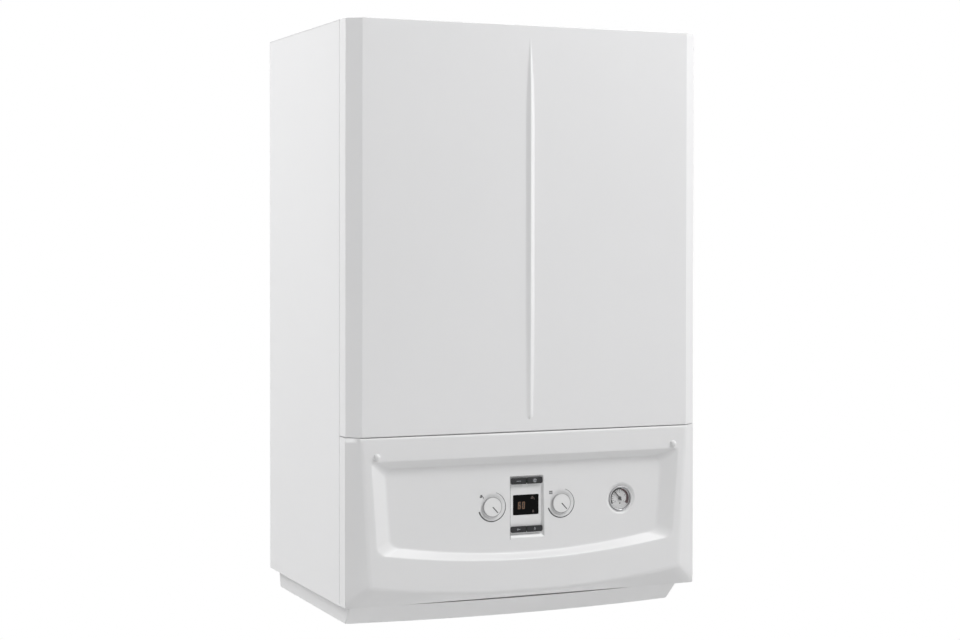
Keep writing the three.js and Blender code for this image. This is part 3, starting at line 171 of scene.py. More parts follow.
# %% A finish and its nodes
class Shading(Tree):
    """One finish. Its methods add nodes that read the piece's own place."""

    def __init__(self, name, **constants):
        finishes[name] = bpy.data.materials.new(name)
        finishes[name].use_nodes = True
        super().__init__(finishes[name].node_tree)
        self.surface = self.make("ShaderNodeBsdfPrincipled")
        self.make("ShaderNodeOutputMaterial", {"Surface": self.surface.outputs[0]})
        self.place = self.make("ShaderNodeTexCoord").outputs["Object"]
        for socket, value in constants.items():
            self.feed(self.surface.inputs[socket.replace("_", " ")], value)

    def noise(self, scale, detail=2.0, stretch=(1, 1, 1)):
        spot = self.make("ShaderNodeMapping", {"Vector": self.place, "Scale": stretch})
        node = self.make("ShaderNodeTexNoise", {
            "Vector": spot.outputs[0], "Scale": scale, "Detail": detail})
        return Number(self, node.outputs[0])

    def cells(self, scale):
        node = self.make("ShaderNodeTexVoronoi", {"Vector": self.place, "Scale": scale})
        return Number(self, node.outputs["Distance"])

    def blend(self, mask, first, second):
        """A colour between the first, where the mask is 0, and the second, where it is 1."""
        node = self.make("ShaderNodeMix", {0: mask, 6: first, 7: second}, data_type="RGBA")
        return node.outputs[2]

    def wear(self, colour, roughness=None, relief=None, depth=0.0):
        """Feeds what changes over the surface: colour, roughness and a bump."""
        self.feed(self.surface.inputs["Base Color"], colour)
        if roughness is not None:
            self.feed(self.surface.inputs["Roughness"], roughness)
        if relief is not None:
            bump = self.make("ShaderNodeBump", {
                "Height": relief, "Distance": depth, "Strength": 1.0})
            self.feed(self.surface.inputs["Normal"], bump.outputs[0])


# %% [markdown]
# ## White paint and white plastic
# The case is powder-painted steel. Such paint is never a flat white: it has a very fine "orange
# peel" that softens reflections, and a hint of tone from sheet to sheet. The moulded cover and the
# tray are plastic, a trace greyer, with a finer, harder grain. Printed ink is a very fine plastic.


# %% Paints, plastics and inks
def darker(colour, share):
    return tuple(c * (1 - share) for c in colour)


def painted(name, colour, tone=0.012, rough=0.36, peel=620, depth=1e-5, coat=0.25):
    shading = Shading(name, Coat_Weight=coat, Coat_Roughness=0.18, IOR=1.5)
    drift = shading.noise(3.2, 3)
    skin = shading.noise(peel, 2) + shading.noise(peel * 3.1, 1) * 0.35
    shading.wear(shading.blend(drift, darker(colour, tone * 2), colour),
                 drift * 0.05 + shading.noise(90, 2) * 0.04 + (rough - 0.045), skin, depth)


def moulded(name, colour, rough, grain=1500, depth=1.2e-5, tone=0.02, ior=1.46):
    shading = Shading(name, IOR=ior)
    drift = shading.noise(7, 2)
    pits = shading.noise(grain, 1) + shading.cells(grain * 0.8) * 0.5
    shading.wear(shading.blend(drift, darker(colour, tone), colour),
                 shading.noise(160, 2) * 0.08 + (rough - 0.04), pits, depth)


def ink(name, colour, rough=0.5, tone=0.1, ior=1.46):
    moulded(name, colour, rough, 2600, 4e-6, tone, ior)


painted("white_paint", (0.80, 0.80, 0.806))
moulded("white_plastic", (0.78, 0.78, 0.784), 0.40)
moulded("knob_plastic", (0.80, 0.80, 0.80), 0.32, 2200, 6e-6)
moulded("key_plastic", (0.034, 0.034, 0.036), 0.5, 1800, 1e-5, 0.1, 1.3)
moulded("black_plastic", (0.018, 0.018, 0.02), 0.45, 1100, 2e-5, 0.2)
moulded("dark_plastic", (0.05, 0.052, 0.058), 0.5, 900, 2e-5, 0.15)
moulded("red_plastic", (0.45, 0.02, 0.015), 0.4, 1200, 1e-5, 0.1)
ink("scale_print", (0.055, 0.056, 0.06), 0.55)
ink("pointer_print", (0.06, 0.06, 0.065))
ink("sign_print", (0.08, 0.08, 0.085), 0.55)
ink("pale_print", (0.42, 0.43, 0.45), tone=0.05)
ink("dial_print", (0.010, 0.010, 0.011), ior=1.2)
ink("dial_red", (0.055, 0.010, 0.018), ior=1.2)
moulded("dial_face", (0.66, 0.66, 0.665), 0.45, 1900, 6e-6, 0.05)
# Grey for the knobs' rim ring, partly painted shade of the gap round the face.
moulded("knob_ring_and_shade", (0.42, 0.42, 0.425), 0.34, 2400, 4e-6, 0.04)
painted("red_paint", (0.42, 0.018, 0.014), 0.05, 0.33, 380, 3e-5, 0.4)
print("paints and plastics:", len(finishes))

# %% [markdown]
# ## Metals
# Inside the case each metal shows how it was made. Galvanised sheet has flat crystals, the
# "spangle", which a cell pattern gives. Stainless steel is brushed along one direction, so its
# noise is stretched. Cast aluminium is grainy, and copper and brass carry a thin brown tarnish.


# %% Metals
def metal(name, colour, tarnish, rough, relief, depth, mask):
    """relief and mask are functions of the shading that give its bump and its tarnish."""
    shading = Shading(name, Metallic=1.0)
    stain = mask(shading)
    shading.wear(shading.blend(stain, colour, tarnish), stain * 0.16 + rough, relief(shading),
                 depth)


metal("zinc_sheet", (0.57, 0.59, 0.61), (0.50, 0.52, 0.54), 0.34,
      lambda s: s.noise(300), 1e-5, lambda s: s.cells(95) * 1.6 + s.noise(20) * 0.3 - 0.2)
metal("stainless", (0.62, 0.62, 0.63), (0.50, 0.50, 0.51), 0.22,
      lambda s: s.noise(900, 2, (1, 1, 0.03)), 1e-5, lambda s: s.noise(500, 2, (1, 1, 0.02)))
metal("cast_aluminium", (0.58, 0.58, 0.59), (0.42, 0.42, 0.43), 0.42,
      lambda s: s.noise(700, 3) + s.cells(420) * 0.6, 6e-5, lambda s: s.noise(60, 4))
metal("copper", (0.78, 0.36, 0.22), (0.42, 0.19, 0.12), 0.22,
      lambda s: s.noise(240), 1.2e-5, lambda s: s.noise(34, 4) * 1.5 - 0.35)
metal("brass", (0.70, 0.50, 0.20), (0.45, 0.30, 0.12), 0.28,
      lambda s: s.noise(420), 2e-5, lambda s: s.noise(46, 4) * 1.4 - 0.3)
metal("gauge_metal", (0.46, 0.46, 0.47), (0.36, 0.36, 0.37), 0.30,
      lambda s: s.noise(1500, 1), 6e-6, lambda s: s.noise(120))
print("finishes so far:", len(finishes))

# %% [markdown]
# ## Foam, circuit board, glass and lit digits
# The tank's jacket is cut foam, speckled and open-pored. The circuit board gets fine tracks from a
# brick pattern. The display is a black glossy window, and its digits glow a dull amber. The
# gauge's lens is nearly clear, so it keeps a little alpha and a hard gloss.

# %% Special finishes
foam = Shading("foam")
foam.wear(foam.blend(foam.noise(330, 3) > 0.56, (0.20, 0.21, 0.23), (0.34, 0.35, 0.37)),
          foam.noise(40) * 0.1 + 0.85, foam.cells(260) + foam.noise(520) * 0.6, 4e-4)

board = Shading("circuit_board", Coat_Weight=0.3)
upright = board.make("ShaderNodeMapping", {"Vector": board.place, "Rotation": (math.pi / 2, 0, 0)})
tracks = board.make("ShaderNodeTexBrick", {
    "Vector": upright.outputs[0], "Color1": (0.010, 0.075, 0.035), "Color2": (0.012, 0.055, 0.03),
    "Mortar": (0.30, 0.24, 0.10), "Scale": 260.0, "Mortar Size": 0.012})
lines = Number(board, tracks.outputs[1])
board.wear(tracks.outputs[0], lines * 0.1 + 0.35, lines, 3e-5)

window_glass = Shading("display", IOR=1.16)
haze = window_glass.noise(18, 3)
window_glass.wear(window_glass.blend(haze, (0.0010, 0.0010, 0.0011), (0.0016, 0.0016, 0.0018)),
                  haze * 0.06 + 0.10, window_glass.noise(900, 1), 2e-6)

for name, colour in (("lit_digits", (0.21, 0.092, 0.028)), ("lit_signs", (0.085, 0.066, 0.062)),
                     ("lit_haze", (0.007, 0.0032, 0.0013))):
    lit = Shading(name, Emission_Strength=1.0)
    glow = lit.noise(800)
    lit.feed(lit.surface.inputs["Emission Color"], lit.blend(glow, darker(colour, 0.25), colour))
    lit.wear(lit.blend(glow, (0.01, 0.006, 0.004), (0.02, 0.01, 0.006)))

lens_glass = Shading("gauge_glass", IOR=1.12)
smear = lens_glass.noise(70, 3)
lens_glass.feed(lens_glass.surface.inputs["Alpha"], smear * 0.03 + 0.03)
lens_glass.wear(lens_glass.blend(smear, (0.8, 0.8, 0.8), (0.9, 0.9, 0.9)), smear * 0.05 + 0.03,
                smear, 1e-5)
print("all finishes:", len(finishes))

# %% [markdown]
# ## Drawing shapes
# Every piece starts as rings of points, joined by bands of faces and closed by flat caps. That
# suits pressed sheet and moulded parts, because each bend is one more ring. `Shape` keeps the
# points in drawing millimetres, and `build` turns them into a finished object: doubles merged,
# faces outwards, smooth shading with crisp edges where the shape really has an edge.


# %% Shape: rings, bands, caps
def polar(radius, turn, x=0.0, y=0.0):
    """The point at that distance and turn, in radians, from the middle (x, y)."""
    return x + radius * math.cos(turn), y + radius * math.sin(turn)


class Shape:
    """Points and faces. spot(u, v, depth) always gives the place of an outline point."""

    def __init__(self):
        self.points, self.faces = [], []

    def ring(self, points):
        start = len(self.points)
        self.points.extend(points)
        return list(range(start, len(self.points)))

    def band(self, one, other, closed=True):
        count = len(one)
        for i in range(count if closed else count - 1):
            k = (i + 1) % count
            self.faces.append((one[i], one[k], other[k], other[i]))

    def stack(self, rings, closed=True):
        """Bands between rings that follow one another; returns their point numbers."""
        rows = [self.ring(ring) for ring in rings]
        for low, high in zip(rows, rows[1:]):
            self.band(low, high, closed)
        return rows

    def cap(self, *loops):
        """A flat face inside the first loop, with the others as holes."""
        order = [i for loop in loops for i in loop]
        corners = [[Vector(self.points[i]) for i in loop] for loop in loops]
        for triangle in tessellate_polygon(corners):
            self.faces.append([order[k] for k in triangle])

    def plate(self, loops, spot, near, far):
        """A plate with holes."""
        fronts = [self.ring([spot(u, v, near) for u, v in loop]) for loop in loops]
        backs = [self.ring([spot(u, v, far) for u, v in loop]) for loop in loops]
        self.cap(*fronts)
        self.cap(*backs)
        for one, other in zip(fronts, backs):
            self.band(one, other)

    def turned(self, profile, spot, steps=64):
        """A lathe shape from (radius, depth) pairs."""
        self.stack([[spot(*polar(r, 2 * math.pi * k / steps), d) for k in range(steps)]
                    for r, d in profile])


# %% Build: from a shape to a piece that rides on its body
DOUBLE = 2e-6           # points closer than this are one point, in metres


def placed(name, data):
    """A new object in the scene."""
    item = bpy.data.objects.new(name, data)
    bpy.context.scene.collection.objects.link(item)
    return item


def cleaned(mesh, outward=None, sharp=38, merge_flats=False):
    work = bmesh.new()
    work.from_mesh(mesh)
    bmesh.ops.remove_doubles(work, verts=work.verts, dist=DOUBLE)
    if merge_flats:
        bmesh.ops.dissolve_limit(work, angle_limit=math.radians(0.5), verts=work.verts,
                                 edges=work.edges)
    else:
        bmesh.ops.dissolve_degenerate(work, edges=work.edges, dist=DOUBLE / 2)
    bmesh.ops.recalc_face_normals(work, faces=work.faces)
    if outward is not None:
        largest = max(work.faces, key=lambda face: face.calc_area())
        if largest.normal.dot(Vector(outward)) < 0:
            bmesh.ops.reverse_faces(work, faces=work.faces)
    work.to_mesh(mesh)
    work.free()
    mesh.shade_smooth()
    mesh.set_sharp_from_angle(angle=math.radians(sharp))


def dress(item, finish, body, *stands_for):
    item.data.materials.clear()
    item.data.materials.append(finishes[finish])
    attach(item, body)
    if stands_for:
        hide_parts(*stands_for)
    return item


def softened(item, edge, wall=0, limit=50):
    """Gives a skin its wall and every hard edge its small radius."""
    if wall:
        solid = item.modifiers.new("wall", "SOLIDIFY")
        solid.thickness, solid.offset = wall / 1000, -1
    if edge:
        bevel = item.modifiers.new("edge", "BEVEL")
        bevel.width, bevel.segments, bevel.limit_method = edge / 1000, 2, "ANGLE"
        bevel.angle_limit, bevel.use_clamp_overlap = math.radians(limit), True
    item.modifiers.new("shading", "WEIGHTED_NORMAL").keep_sharp = True


def build(name, shape, finish, body, *stands_for, edge=0, wall=0, outward=None, sharp=38):
    mesh = bpy.data.meshes.new(name)
    mesh.from_pydata([place(*point) for point in shape.points], [], shape.faces)
    cleaned(mesh, outward, sharp)
    item = placed(name, mesh)
    softened(item, edge, wall)
    return dress(item, finish, body, *stands_for)


def facing(x, z):
    """Outline axes for shapes that face the front: u right, v up, depth from the wall."""
    return lambda u, v, depth: (x + u, depth, z + v)


def lying(u, v, depth):
    """Outline axes for shapes that lie flat: u right, v back, depth up."""
    return u, v, depth


def at(depth, outline):
    """An outline in the front plane as points at that depth."""
    return [(x, depth, z) for x, z in outline]


print("drawing tools ready")

# %% [markdown]
# ## Folded corners
# A sheet that is folded never has a sharp corner: it bends round a small radius. `rounded` walks
# along an outline and replaces each inner corner by a short curve.


# %% Outlines
def bent(start, corner, end, steps=5):
    """Points of a soft bend from start to end that leans on the corner."""
    return [start * (1 - t) ** 2 + corner * 2 * t * (1 - t) + end * t * t
            for t in (k / steps for k in range(steps + 1))]


def rounded(corners, radius, steps=5, closed=False):
    """The outline with every corner (or every inner one) bent to that radius."""
    count = len(corners)
    path = []
    for i, corner in enumerate(corners):
        if not closed and i in (0, count - 1):
            path.append(tuple(corner))
            continue
        here = Vector(corner)
        before, after = Vector(corners[i - 1]) - here, Vector(corners[(i + 1) % count]) - here
        half = before.angle(after) / 2
        reach = min(radius / math.tan(half), before.length * 0.45, after.length * 0.45)
        a, b = here + before.normalized() * reach, here + after.normalized() * reach
        path += [tuple(a * (1 - t) ** 2 + here * 2 * t * (1 - t) + b * t ** 2)
                 for t in (k / steps for k in range(steps + 1))]
    return path


def circle(x, y, radius, steps=48):
    return [polar(radius, 2 * math.pi * k / steps, x, y) for k in range(steps)]


def box_outline(half_width, half_height, radius, x=0.0, y=0.0, steps=5):
    corners = [(x + sx * half_width, y + sy * half_height)
               for sx, sy in ((1, 1), (-1, 1), (-1, -1), (1, -1))]
    return rounded(corners, radius, steps, closed=True)


def arc_band(radius, start, end, wide_start, wide_end, steps=48):
    """A curved stroke whose width changes from one end to the other; angles in degrees."""
    outer, inner = [], []
    for k in range(steps + 1):
        t = k / steps
        turn = math.radians(start + (end - start) * t)
        half = (wide_start + (wide_end - wide_start) * t) / 2
        outer.append(polar(radius + half, turn))
        inner.append(polar(radius - half, turn))
    return outer + inner[::-1]


def stroke(start, end, width, taper=1.0):
    """A straight stroke with round ends; taper is the far end's share of the width."""
    a, b = Vector(start), Vector(end)
    turn = math.atan2(b.y - a.y, b.x - a.x)
    return [polar(half, turn + math.radians(first + 30 * k), centre.x, centre.y)
            for centre, half, first in ((b, width * taper / 2, -90), (a, width / 2, 90))
            for k in range(7)]


print("outline tools ready")

# %% [markdown]
# ## Upper front cover
# One sheet, folded along both upright edges into a bevel and a side flange, with small returns
# behind, and closed at the top and foot. The rib down the middle is pressed out of the same sheet:
# two even flanks meet in a soft ridge, drawn to a point at the top and rounded off at the foot.
# It is made as one grid whose rows run round the plan and whose columns bend out at the rib.

# %% Upper front cover
RIB_FOOT, RIB_TOP, RIB_HALF, RIB_HEIGHT = 281.0, 882.0, 8.25, 3.8
RIB_POINT, RIB_BLUNT = 144, 9       # lengths of the rib's pointed top and rounded foot
COVER_BEVEL, FOLD, BEND = 21.9, 1.6, 3.0
COVER_EDGE = 1.2                    # radius along the cover's top and foot


def rib_swell(z):
    """How full the rib is at that height, from 0 to 1."""
    down, up = RIB_TOP - z, z - RIB_FOOT
    if down <= 0 or up <= 0:
        return 0.0
    point = 1 - (1 - min(down / RIB_POINT, 1)) ** 2
    blunt = math.sqrt(1 - (1 - min(up / RIB_BLUNT, 1)) ** 2) * (0.73 + 0.27 * min(up / 150, 1))
    return min(point, blunt)


def rib_height(x, z):
    swell = rib_swell(z)
    reach = RIB_HALF * swell
    if reach < 0.05 or abs(x) >= reach:
        return 0.0
    t = 1 - abs(x) / reach
    flank = t * t / (t + 0.22) * 1.22
    if flank > 0.86:
        flank = 0.86 + 0.07 * (1 - (1 - (flank - 0.86) / 0.14) ** 2)
    return RIB_HEIGHT * swell * flank


def cover_plan(inset):
    """Plan of the cover, drawn inwards by inset, from its left return round to the right one."""
    depth = FRONT - BEVEL_BACK
    turn = math.acos(-depth / math.hypot(COVER_BEVEL, depth))
    back, bevel_back = SEAM - inset, BEVEL_BACK + inset * math.tan(turn / 2)
    x, nose = SIDE - inset, SIDE - COVER_BEVEL - inset * math.tan((math.pi / 2 - turn) / 2)
    side_folds = rounded([(RETURN, back), (x, back), (x, bevel_back)],
                         max(FOLD - inset * 0.5, 0.3), 4)
    front_folds = rounded([(x, back - 3), (x, bevel_back), (nose, FRONT + inset),
                           (0, FRONT + inset)], BEND)
    right = side_folds[:-1] + front_folds[1:-1]
    left = [(-px, py) for px, py in right]
    rib = [k * 0.75 for k in range(-11, 12)]
    flat = [20, 50, 100, 160, 220]
    middle = [(mx, FRONT + inset) for mx in [-x for x in flat[::-1]] + rib + flat]
    return left + middle + right[::-1]


def cover_rows(between):
    """(height, inset) pairs: rounded in at the foot and at the top."""
    ends = [(COVER_EDGE * (1 - math.cos(t)), COVER_EDGE * (1 - math.sin(t)))
            for t in (math.radians(22.5 * k) for k in range(5))]
    return ([(COVER_FOOT + rise, inset) for rise, inset in ends] + [(z, 0.0) for z in between] +
            [(HEIGHT - rise, inset) for rise, inset in ends[::-1]])


heights = sorted({round(z, 2) for z in
                  [RIB_FOOT - 2, RIB_FOOT, RIB_TOP, RIB_TOP + 1] +
                  [RIB_FOOT + RIB_BLUNT * (1 - math.cos(math.radians(15 * k))) for k in range(7)] +
                  [RIB_FOOT + RIB_BLUNT + 14 * k for k in range(1, 32)] +
                  [RIB_TOP - 150 * (k / 16) ** 1.5 for k in range(1, 17)]})
upper = Shape()
rows = upper.stack([[(x, y - (rib_height(x, z) if abs(x) < RIB_HALF + 1 else 0), z)
                     for x, y in cover_plan(inset)]
                    for z, inset in cover_rows(heights)], closed=False)
upper.cap(rows[0])
upper.cap(rows[-1])
upper_cover = build("upper_cover_sheet", upper, "white_paint", "upper_cover",
                    "upper_front_cover", wall=SHEET, outward=(0, -1, 0), sharp=60)
print("upper cover faces:", len(upper_cover.data.polygons))

# %% [markdown]
# ## Side panels, side strips and top
# The side panels and the two strips beside the lower cover are plain folded sheets, so each is one
# plan outline pushed upwards and given its wall. The top is a plate with the air opening for the
# flue cut through it. A tiny radius on every edge catches the light as real sheet does.


# %% Folded side sheets and the top
def folded(name, sign, plan, foot, top, node):
    """A sheet folded along that plan, on the right side (sign 1) or mirrored to the left (-1)."""
    shape = Shape()
    path = rounded([(sign * x, y) for x, y in plan], FOLD)
    shape.stack([[(x, y, z) for x, y in path] for z in (foot, top)], closed=False)
    return build(name, shape, "white_paint", "casing", node, edge=0.25, wall=SHEET,
                 outward=(sign, 0, 0), sharp=60)


for word, sign in SIDES:
    folded(f"{word}_side_sheet", sign, [(RETURN, 0), (SIDE, 0), (SIDE, PANEL_FRONT),
                                        (RETURN, PANEL_FRONT)],
           0, HEIGHT - SHEET - 0.3, f"{word}_side_panel")
    folded(f"{word}_side_strip", sign, [(RETURN, SEAM), (SIDE, SEAM), (SIDE, BEVEL_BACK + 0.6)],
           1, FASCIA_TOP, f"{word}_cheek")

flue_x, flue_y, _ = middle_of("flue_collar")
LIP_HALF, LIP_HEIGHT, FLUE_HOLE = 282, 14, 60
top = Shape()
top.plate([[(-SIDE, 0), (-SIDE, PANEL_FRONT), (SIDE, PANEL_FRONT), (SIDE, 0)],
           circle(flue_x, flue_y, FLUE_HOLE, 72)], lying, HEIGHT - SHEET, HEIGHT)
top.plate([[(-LIP_HALF, PANEL_FRONT), (LIP_HALF, PANEL_FRONT), (LIP_HALF, PANEL_FRONT + SHEET),
            (-LIP_HALF, PANEL_FRONT + SHEET)]], lying, HEIGHT - SHEET - LIP_HEIGHT, HEIGHT - SHEET)
build("top_sheet", top, "white_paint", "casing", "top_panel", edge=0.3)
print("top opening at", round(flue_x, 1), round(flue_y, 1))

# %% [markdown]
# ## Lower front cover
# This is the moulded part with the controls, and nearly all of its shape is bends. Its bevels widen
# towards the foot, where the front turns under along a bow. The recess has a straight top, leaning
# sides and a bowed lower wall that widens to its ends. In its floor are a sunk field for the
# display, two flat dishes for the knobs and a deeper one for the gauge. Each edge is a ring that is
# bent over in small steps, so the flat parts stay truly flat.


# %% Lower front cover: outlines
def bowl(half_top, half_foot, top, side_foot, middle, bow, top_corner, low_corner, grow):
    """Outline of the recess or its floor, clockwise from the top right corner to the top left."""
    def side_at(z):
        return half_foot + (half_top - half_foot) * (z - side_foot) / (top - side_foot) + grow

    def foot_at(x):
        return middle - grow + bow - math.sqrt(bow * bow - x * x)

    foot_x = side_at(side_foot) - low_corner
    foot_z = foot_at(foot_x)
    path = [(side_at(top) - top_corner * (1 - math.sin(t)),
             top + grow - top_corner * (1 - math.cos(t)))
            for t in (math.pi / 2 * k / 8 for k in range(9))]
    path += [(foot_x + low_corner * math.cos(t), foot_z + (side_foot - foot_z) * (1 - math.sin(t)))
             for t in (math.pi / 2 * k / 14 for k in range(15))]
    path += [(x, foot_at(x)) for x in (foot_x * (1 - k / 26) for k in range(1, 27))]
    return path + [(-x, z) for x, z in path[-2::-1]]


def recess_edge(grow):
    return bowl(263.4, 254.6, 223.9, 94, 60.7, 1605, 4, 19, grow)


def recess_floor(grow):
    return bowl(237, 230.5, 211.6, 104, 69.4, 1180, 14, 26, grow)


def foot_rise(x):
    """Height of the bowed line where the front turns under."""
    return 8.9 + 29 * (x / SIDE) ** 2


def bevel_at(z):
    """Width of the bevel at that height, seen from the front."""
    return 37 - 16.5 * (z - 1) / (FASCIA_TOP - 1)


def bent_rings(starts, corners, ends):
    """The same bend all along an edge: one ring for each step."""
    columns = [bent(Vector(a), Vector(b), Vector(c)) for a, b, c in zip(starts, corners, ends)]
    return [[tuple(point) for point in ring] for ring in zip(*columns)]


def inset_loop(loop, amount):
    """A closed outline in the front plane moved inwards, corners kept sharp."""
    moved = []
    for i, here in enumerate(loop):
        before, after = loop[i - 1], loop[(i + 1) % len(loop)]
        d1 = (Vector(here) - Vector(before)).normalized()
        d2 = (Vector(after) - Vector(here)).normalized()
        n1, n2 = Vector((d1.y, -d1.x)), Vector((d2.y, -d2.x))
        lean = (n1 + n2) / (1 + n1.dot(n2))
        moved.append(tuple(Vector(here) + lean * amount))
    return moved


def toward(start, end, length):
    """The point at that distance on the way from start to end, or the end if it is nearer."""
    start, end = Vector(start), Vector(end)
    return tuple(start + (end - start) * min(length / (end - start).length, 1))


print("recess outline points:", len(recess_edge(0)))

# %% Lower front cover: the outer skin
FOOT_CORNER = next(x / 10 for x in range(2500, 3000)
                   if SIDE - bevel_at(foot_rise(x / 10)) < x / 10)
RIM_HALF, RIM_FOOT = SIDE - 1.6, -0.2
EDGE = 5.0              # reach of the soft bend between front and bevel
ROWS = (0.035, 0.06, 0.12, 0.25, 0.45, 0.65, 0.82, 0.92)


def front_and_rim():
    """The front face's outline, clockwise from the top left, with the rim point behind each."""
    low = foot_rise(FOOT_CORNER)
    top_half, low_half = SIDE - bevel_at(FASCIA_TOP), SIDE - bevel_at(low)
    top = [((top_half * share, FASCIA_TOP), (SIDE * share, FASCIA_TOP))
           for share in (2 * (k / 12) - 1 for k in range(13))]
    levels = [(z, z) for z in (FASCIA_TOP + (low - FASCIA_TOP) * share for share in ROWS)]
    levels += [(low + 14, low * 0.75), (low + 7, low * 0.4)]
    side = [((SIDE - bevel_at(z), z), (SIDE, rim_z)) for z, rim_z in levels]
    side.append(((low_half, low), (RIM_HALF, RIM_FOOT)))
    foot = [((low_half * share, foot_rise(low_half * share)), (RIM_HALF * share, RIM_FOOT))
            for share in (1 - 2 * k / 32 for k in range(1, 32))]
    mirrored = [((-x, z), (-rx, rz)) for (x, z), (rx, rz) in side[::-1]]
    return top + side + foot + mirrored


front_loop, rim_loop = zip(*front_and_rim())
fascia = Shape()
crease, rim = at(FRONT, front_loop), at(BEVEL_BACK, rim_loop)
outer_rows = fascia.stack(bent_rings(at(FRONT, inset_loop(front_loop, EDGE)), crease,
                                     [toward(c, r, EDGE) for c, r in zip(crease, rim)]) + [rim])

# %% Lower front cover: the recess, its floor, the sunk field and the dishes
LIP, CURB = 2.4, 3.0    # reaches of the bends along the recess's edge and round its floor
edge_points, floor_points = at(FRONT, recess_edge(0)), at(FLOOR, recess_floor(0))
edge_rings = bent_rings(at(FRONT, recess_edge(LIP)), edge_points,
                        [toward(a, b, LIP) for a, b in zip(edge_points, floor_points)])
floor_rings = bent_rings([toward(b, a, CURB) for a, b in zip(edge_points, floor_points)],
                         floor_points, at(FLOOR, recess_floor(-CURB)))
recess_rows = fascia.stack(edge_rings + floor_rings)
fascia.cap(outer_rows[0], recess_rows[0])

BAY_HALF, BAY_LOW, BAY_HIGH, BAY_LIP, BAY_SLOPE = 28.5, 98.0, 189.6, 5.0, 2.8


def bay_ring(y, grow):
    """Outline of the sunk field at that depth; its foot and its right side slope."""
    share = (BAY - y) / (BAY - FLOOR)
    low, right = BAY_LOW - BAY_LIP * share, BAY_HALF + 0.4 - BAY_SLOPE * (1 - share)
    corners = [(right + grow, BAY_HIGH + grow), (-BAY_HALF - grow, BAY_HIGH + grow),
               (-BAY_HALF - grow, low - grow), (right + grow + 2 * share, low - grow - share)]
    return at(y, rounded(corners, 1.2 + max(grow, 0), 4, closed=True))


def hole(outline):
    """A straight hole through the floor of the sunk field."""
    return fascia.stack([at(depth, outline) for depth in (BAY, BAY + 2.4)])


def dish(x, z, steps, profile):
    """A round dish in the recess floor, from (radius, depth) pairs."""
    return fascia.stack([at(FLOOR + depth, circle(x, z, radius, steps))
                         for radius, depth in profile])


bay_rows = fascia.stack([bay_ring(y, grow) for y, grow in (
    (FLOOR, 0.6), (FLOOR + 0.07, 0.3), (FLOOR + 0.25, 0.1), (FLOOR + 0.6, 0), (BAY - 0.6, 0),
    (BAY - 0.25, -0.1), (BAY - 0.07, -0.3), (BAY, -0.6))])
holes = [hole(box_outline(22.2, 16.1, 1.9, 0, CONSOLE))]
holes += [hole(box_outline(25.0, 4.0, 1.0, -1.2, CONSOLE + side * 38.2)) for side in (1, -1)]
dishes = [dish(GAUGE_X, GAUGE_Z, 80, ((26.6, 0), (25.8, 0.05), (25.0, 0.22), (23.4, 1.1),
                                      (21.9, 2.0), (21.2, 2.3), (20.3, 2.4), (20.3, 4.9)))]
dishes += [dish(side * KNOB_X, CONSOLE, 64, ((21.6, 0), (21.0, 0.03), (20.4, 0.12), (18.4, 0.65),
                                             (17.4, 0.86), (16.6, 0.9))) for side in (-1, 1)]
fascia.cap(recess_rows[-1], bay_rows[0], *(dish_rows[0] for dish_rows in dishes))
for well in dishes[1:]:
    fascia.cap(well[-1])
fascia.cap(bay_rows[-1], *(hole_rows[0] for hole_rows in holes))
lower_cover = build("lower_cover_moulding", fascia, "white_plastic", "control_panel",
                    "lower_front_cover", wall=1.8, outward=(0, -1, 0), sharp=42)
print("lower cover faces:", len(lower_cover.data.polygons))

# A thin dark strip paints the shadow along the left side and the top of the sunk field.
painted_shadow = Shape()
for left, right, low, high in ((-28.75, -28.3, 90.4, 190.2), (-28.3, 28.4, 189.9, 190.2)):
    painted_shadow.plate([[(left, low), (right, low), (right, high), (left, high)]], facing(0, 0),
               FLOOR - 0.04, FLOOR + 0.5)
# The dark strip is painted shadow; no part stands there.
build("bay_seal", painted_shadow, "dark_plastic", "control_panel")

# %% [markdown]
# ## Cover screws and knobs
# The two screws above the recess wear domed white caps. The knobs are nearly level with the panel:
# flat lathe shapes with a grey ring let in along their rim, its grey partly painted shade of the
# gap round the face, and a printed pointer on the face.
# Round each knob a stroke is printed on the recess floor that starts as a hairline and grows as the
# setting rises.

# %% Cover screws
SCREW_X, SCREW_Z, SCREW_RADIUS, SCREW_DOME = 254.5, 232, 5.0, 4.4
SHANK, SHANK_END = 2.5, FRONT + 16
for word, sign in SIDES:
    cap = Shape()
    dome = [(SCREW_RADIUS * math.sin(t), FRONT - 0.6 - SCREW_DOME * math.cos(t))
            for t in (math.radians(10 * k) for k in range(10))]
    cap.turned(dome + [(SCREW_RADIUS, FRONT + 0.05), (SHANK, FRONT + 0.05), (SHANK, SHANK_END),
                       (0, SHANK_END)], facing(sign * SCREW_X, SCREW_Z), 48)
    build(f"{word}_screw_cap", cap, "white_plastic", "control_panel", f"{word}_cover_screw")

# %% Knobs, pointers and printed scales
KNOB_BASE = FLOOR - 0.5
KNOB_FACE = KNOB_BASE - 2.6
SPINDLE_END = -399.0
POINTER_TURN = math.radians(-47)
PRINT, SUNK = 0.06, 0.1     # a print stands this much proud of its surface and reaches this deep


def printed(name, finish, body, *prints, proud=PRINT, sunk=SUNK):
    """Prints from (outlines, spot, surface), as thin plates that survive in the exported mesh."""
    shape = Shape()
    for outlines, spot, surface in prints:
        for outline in outlines:
            shape.plate([outline], spot, surface - proud, surface + sunk)
    build(name, shape, finish, body)


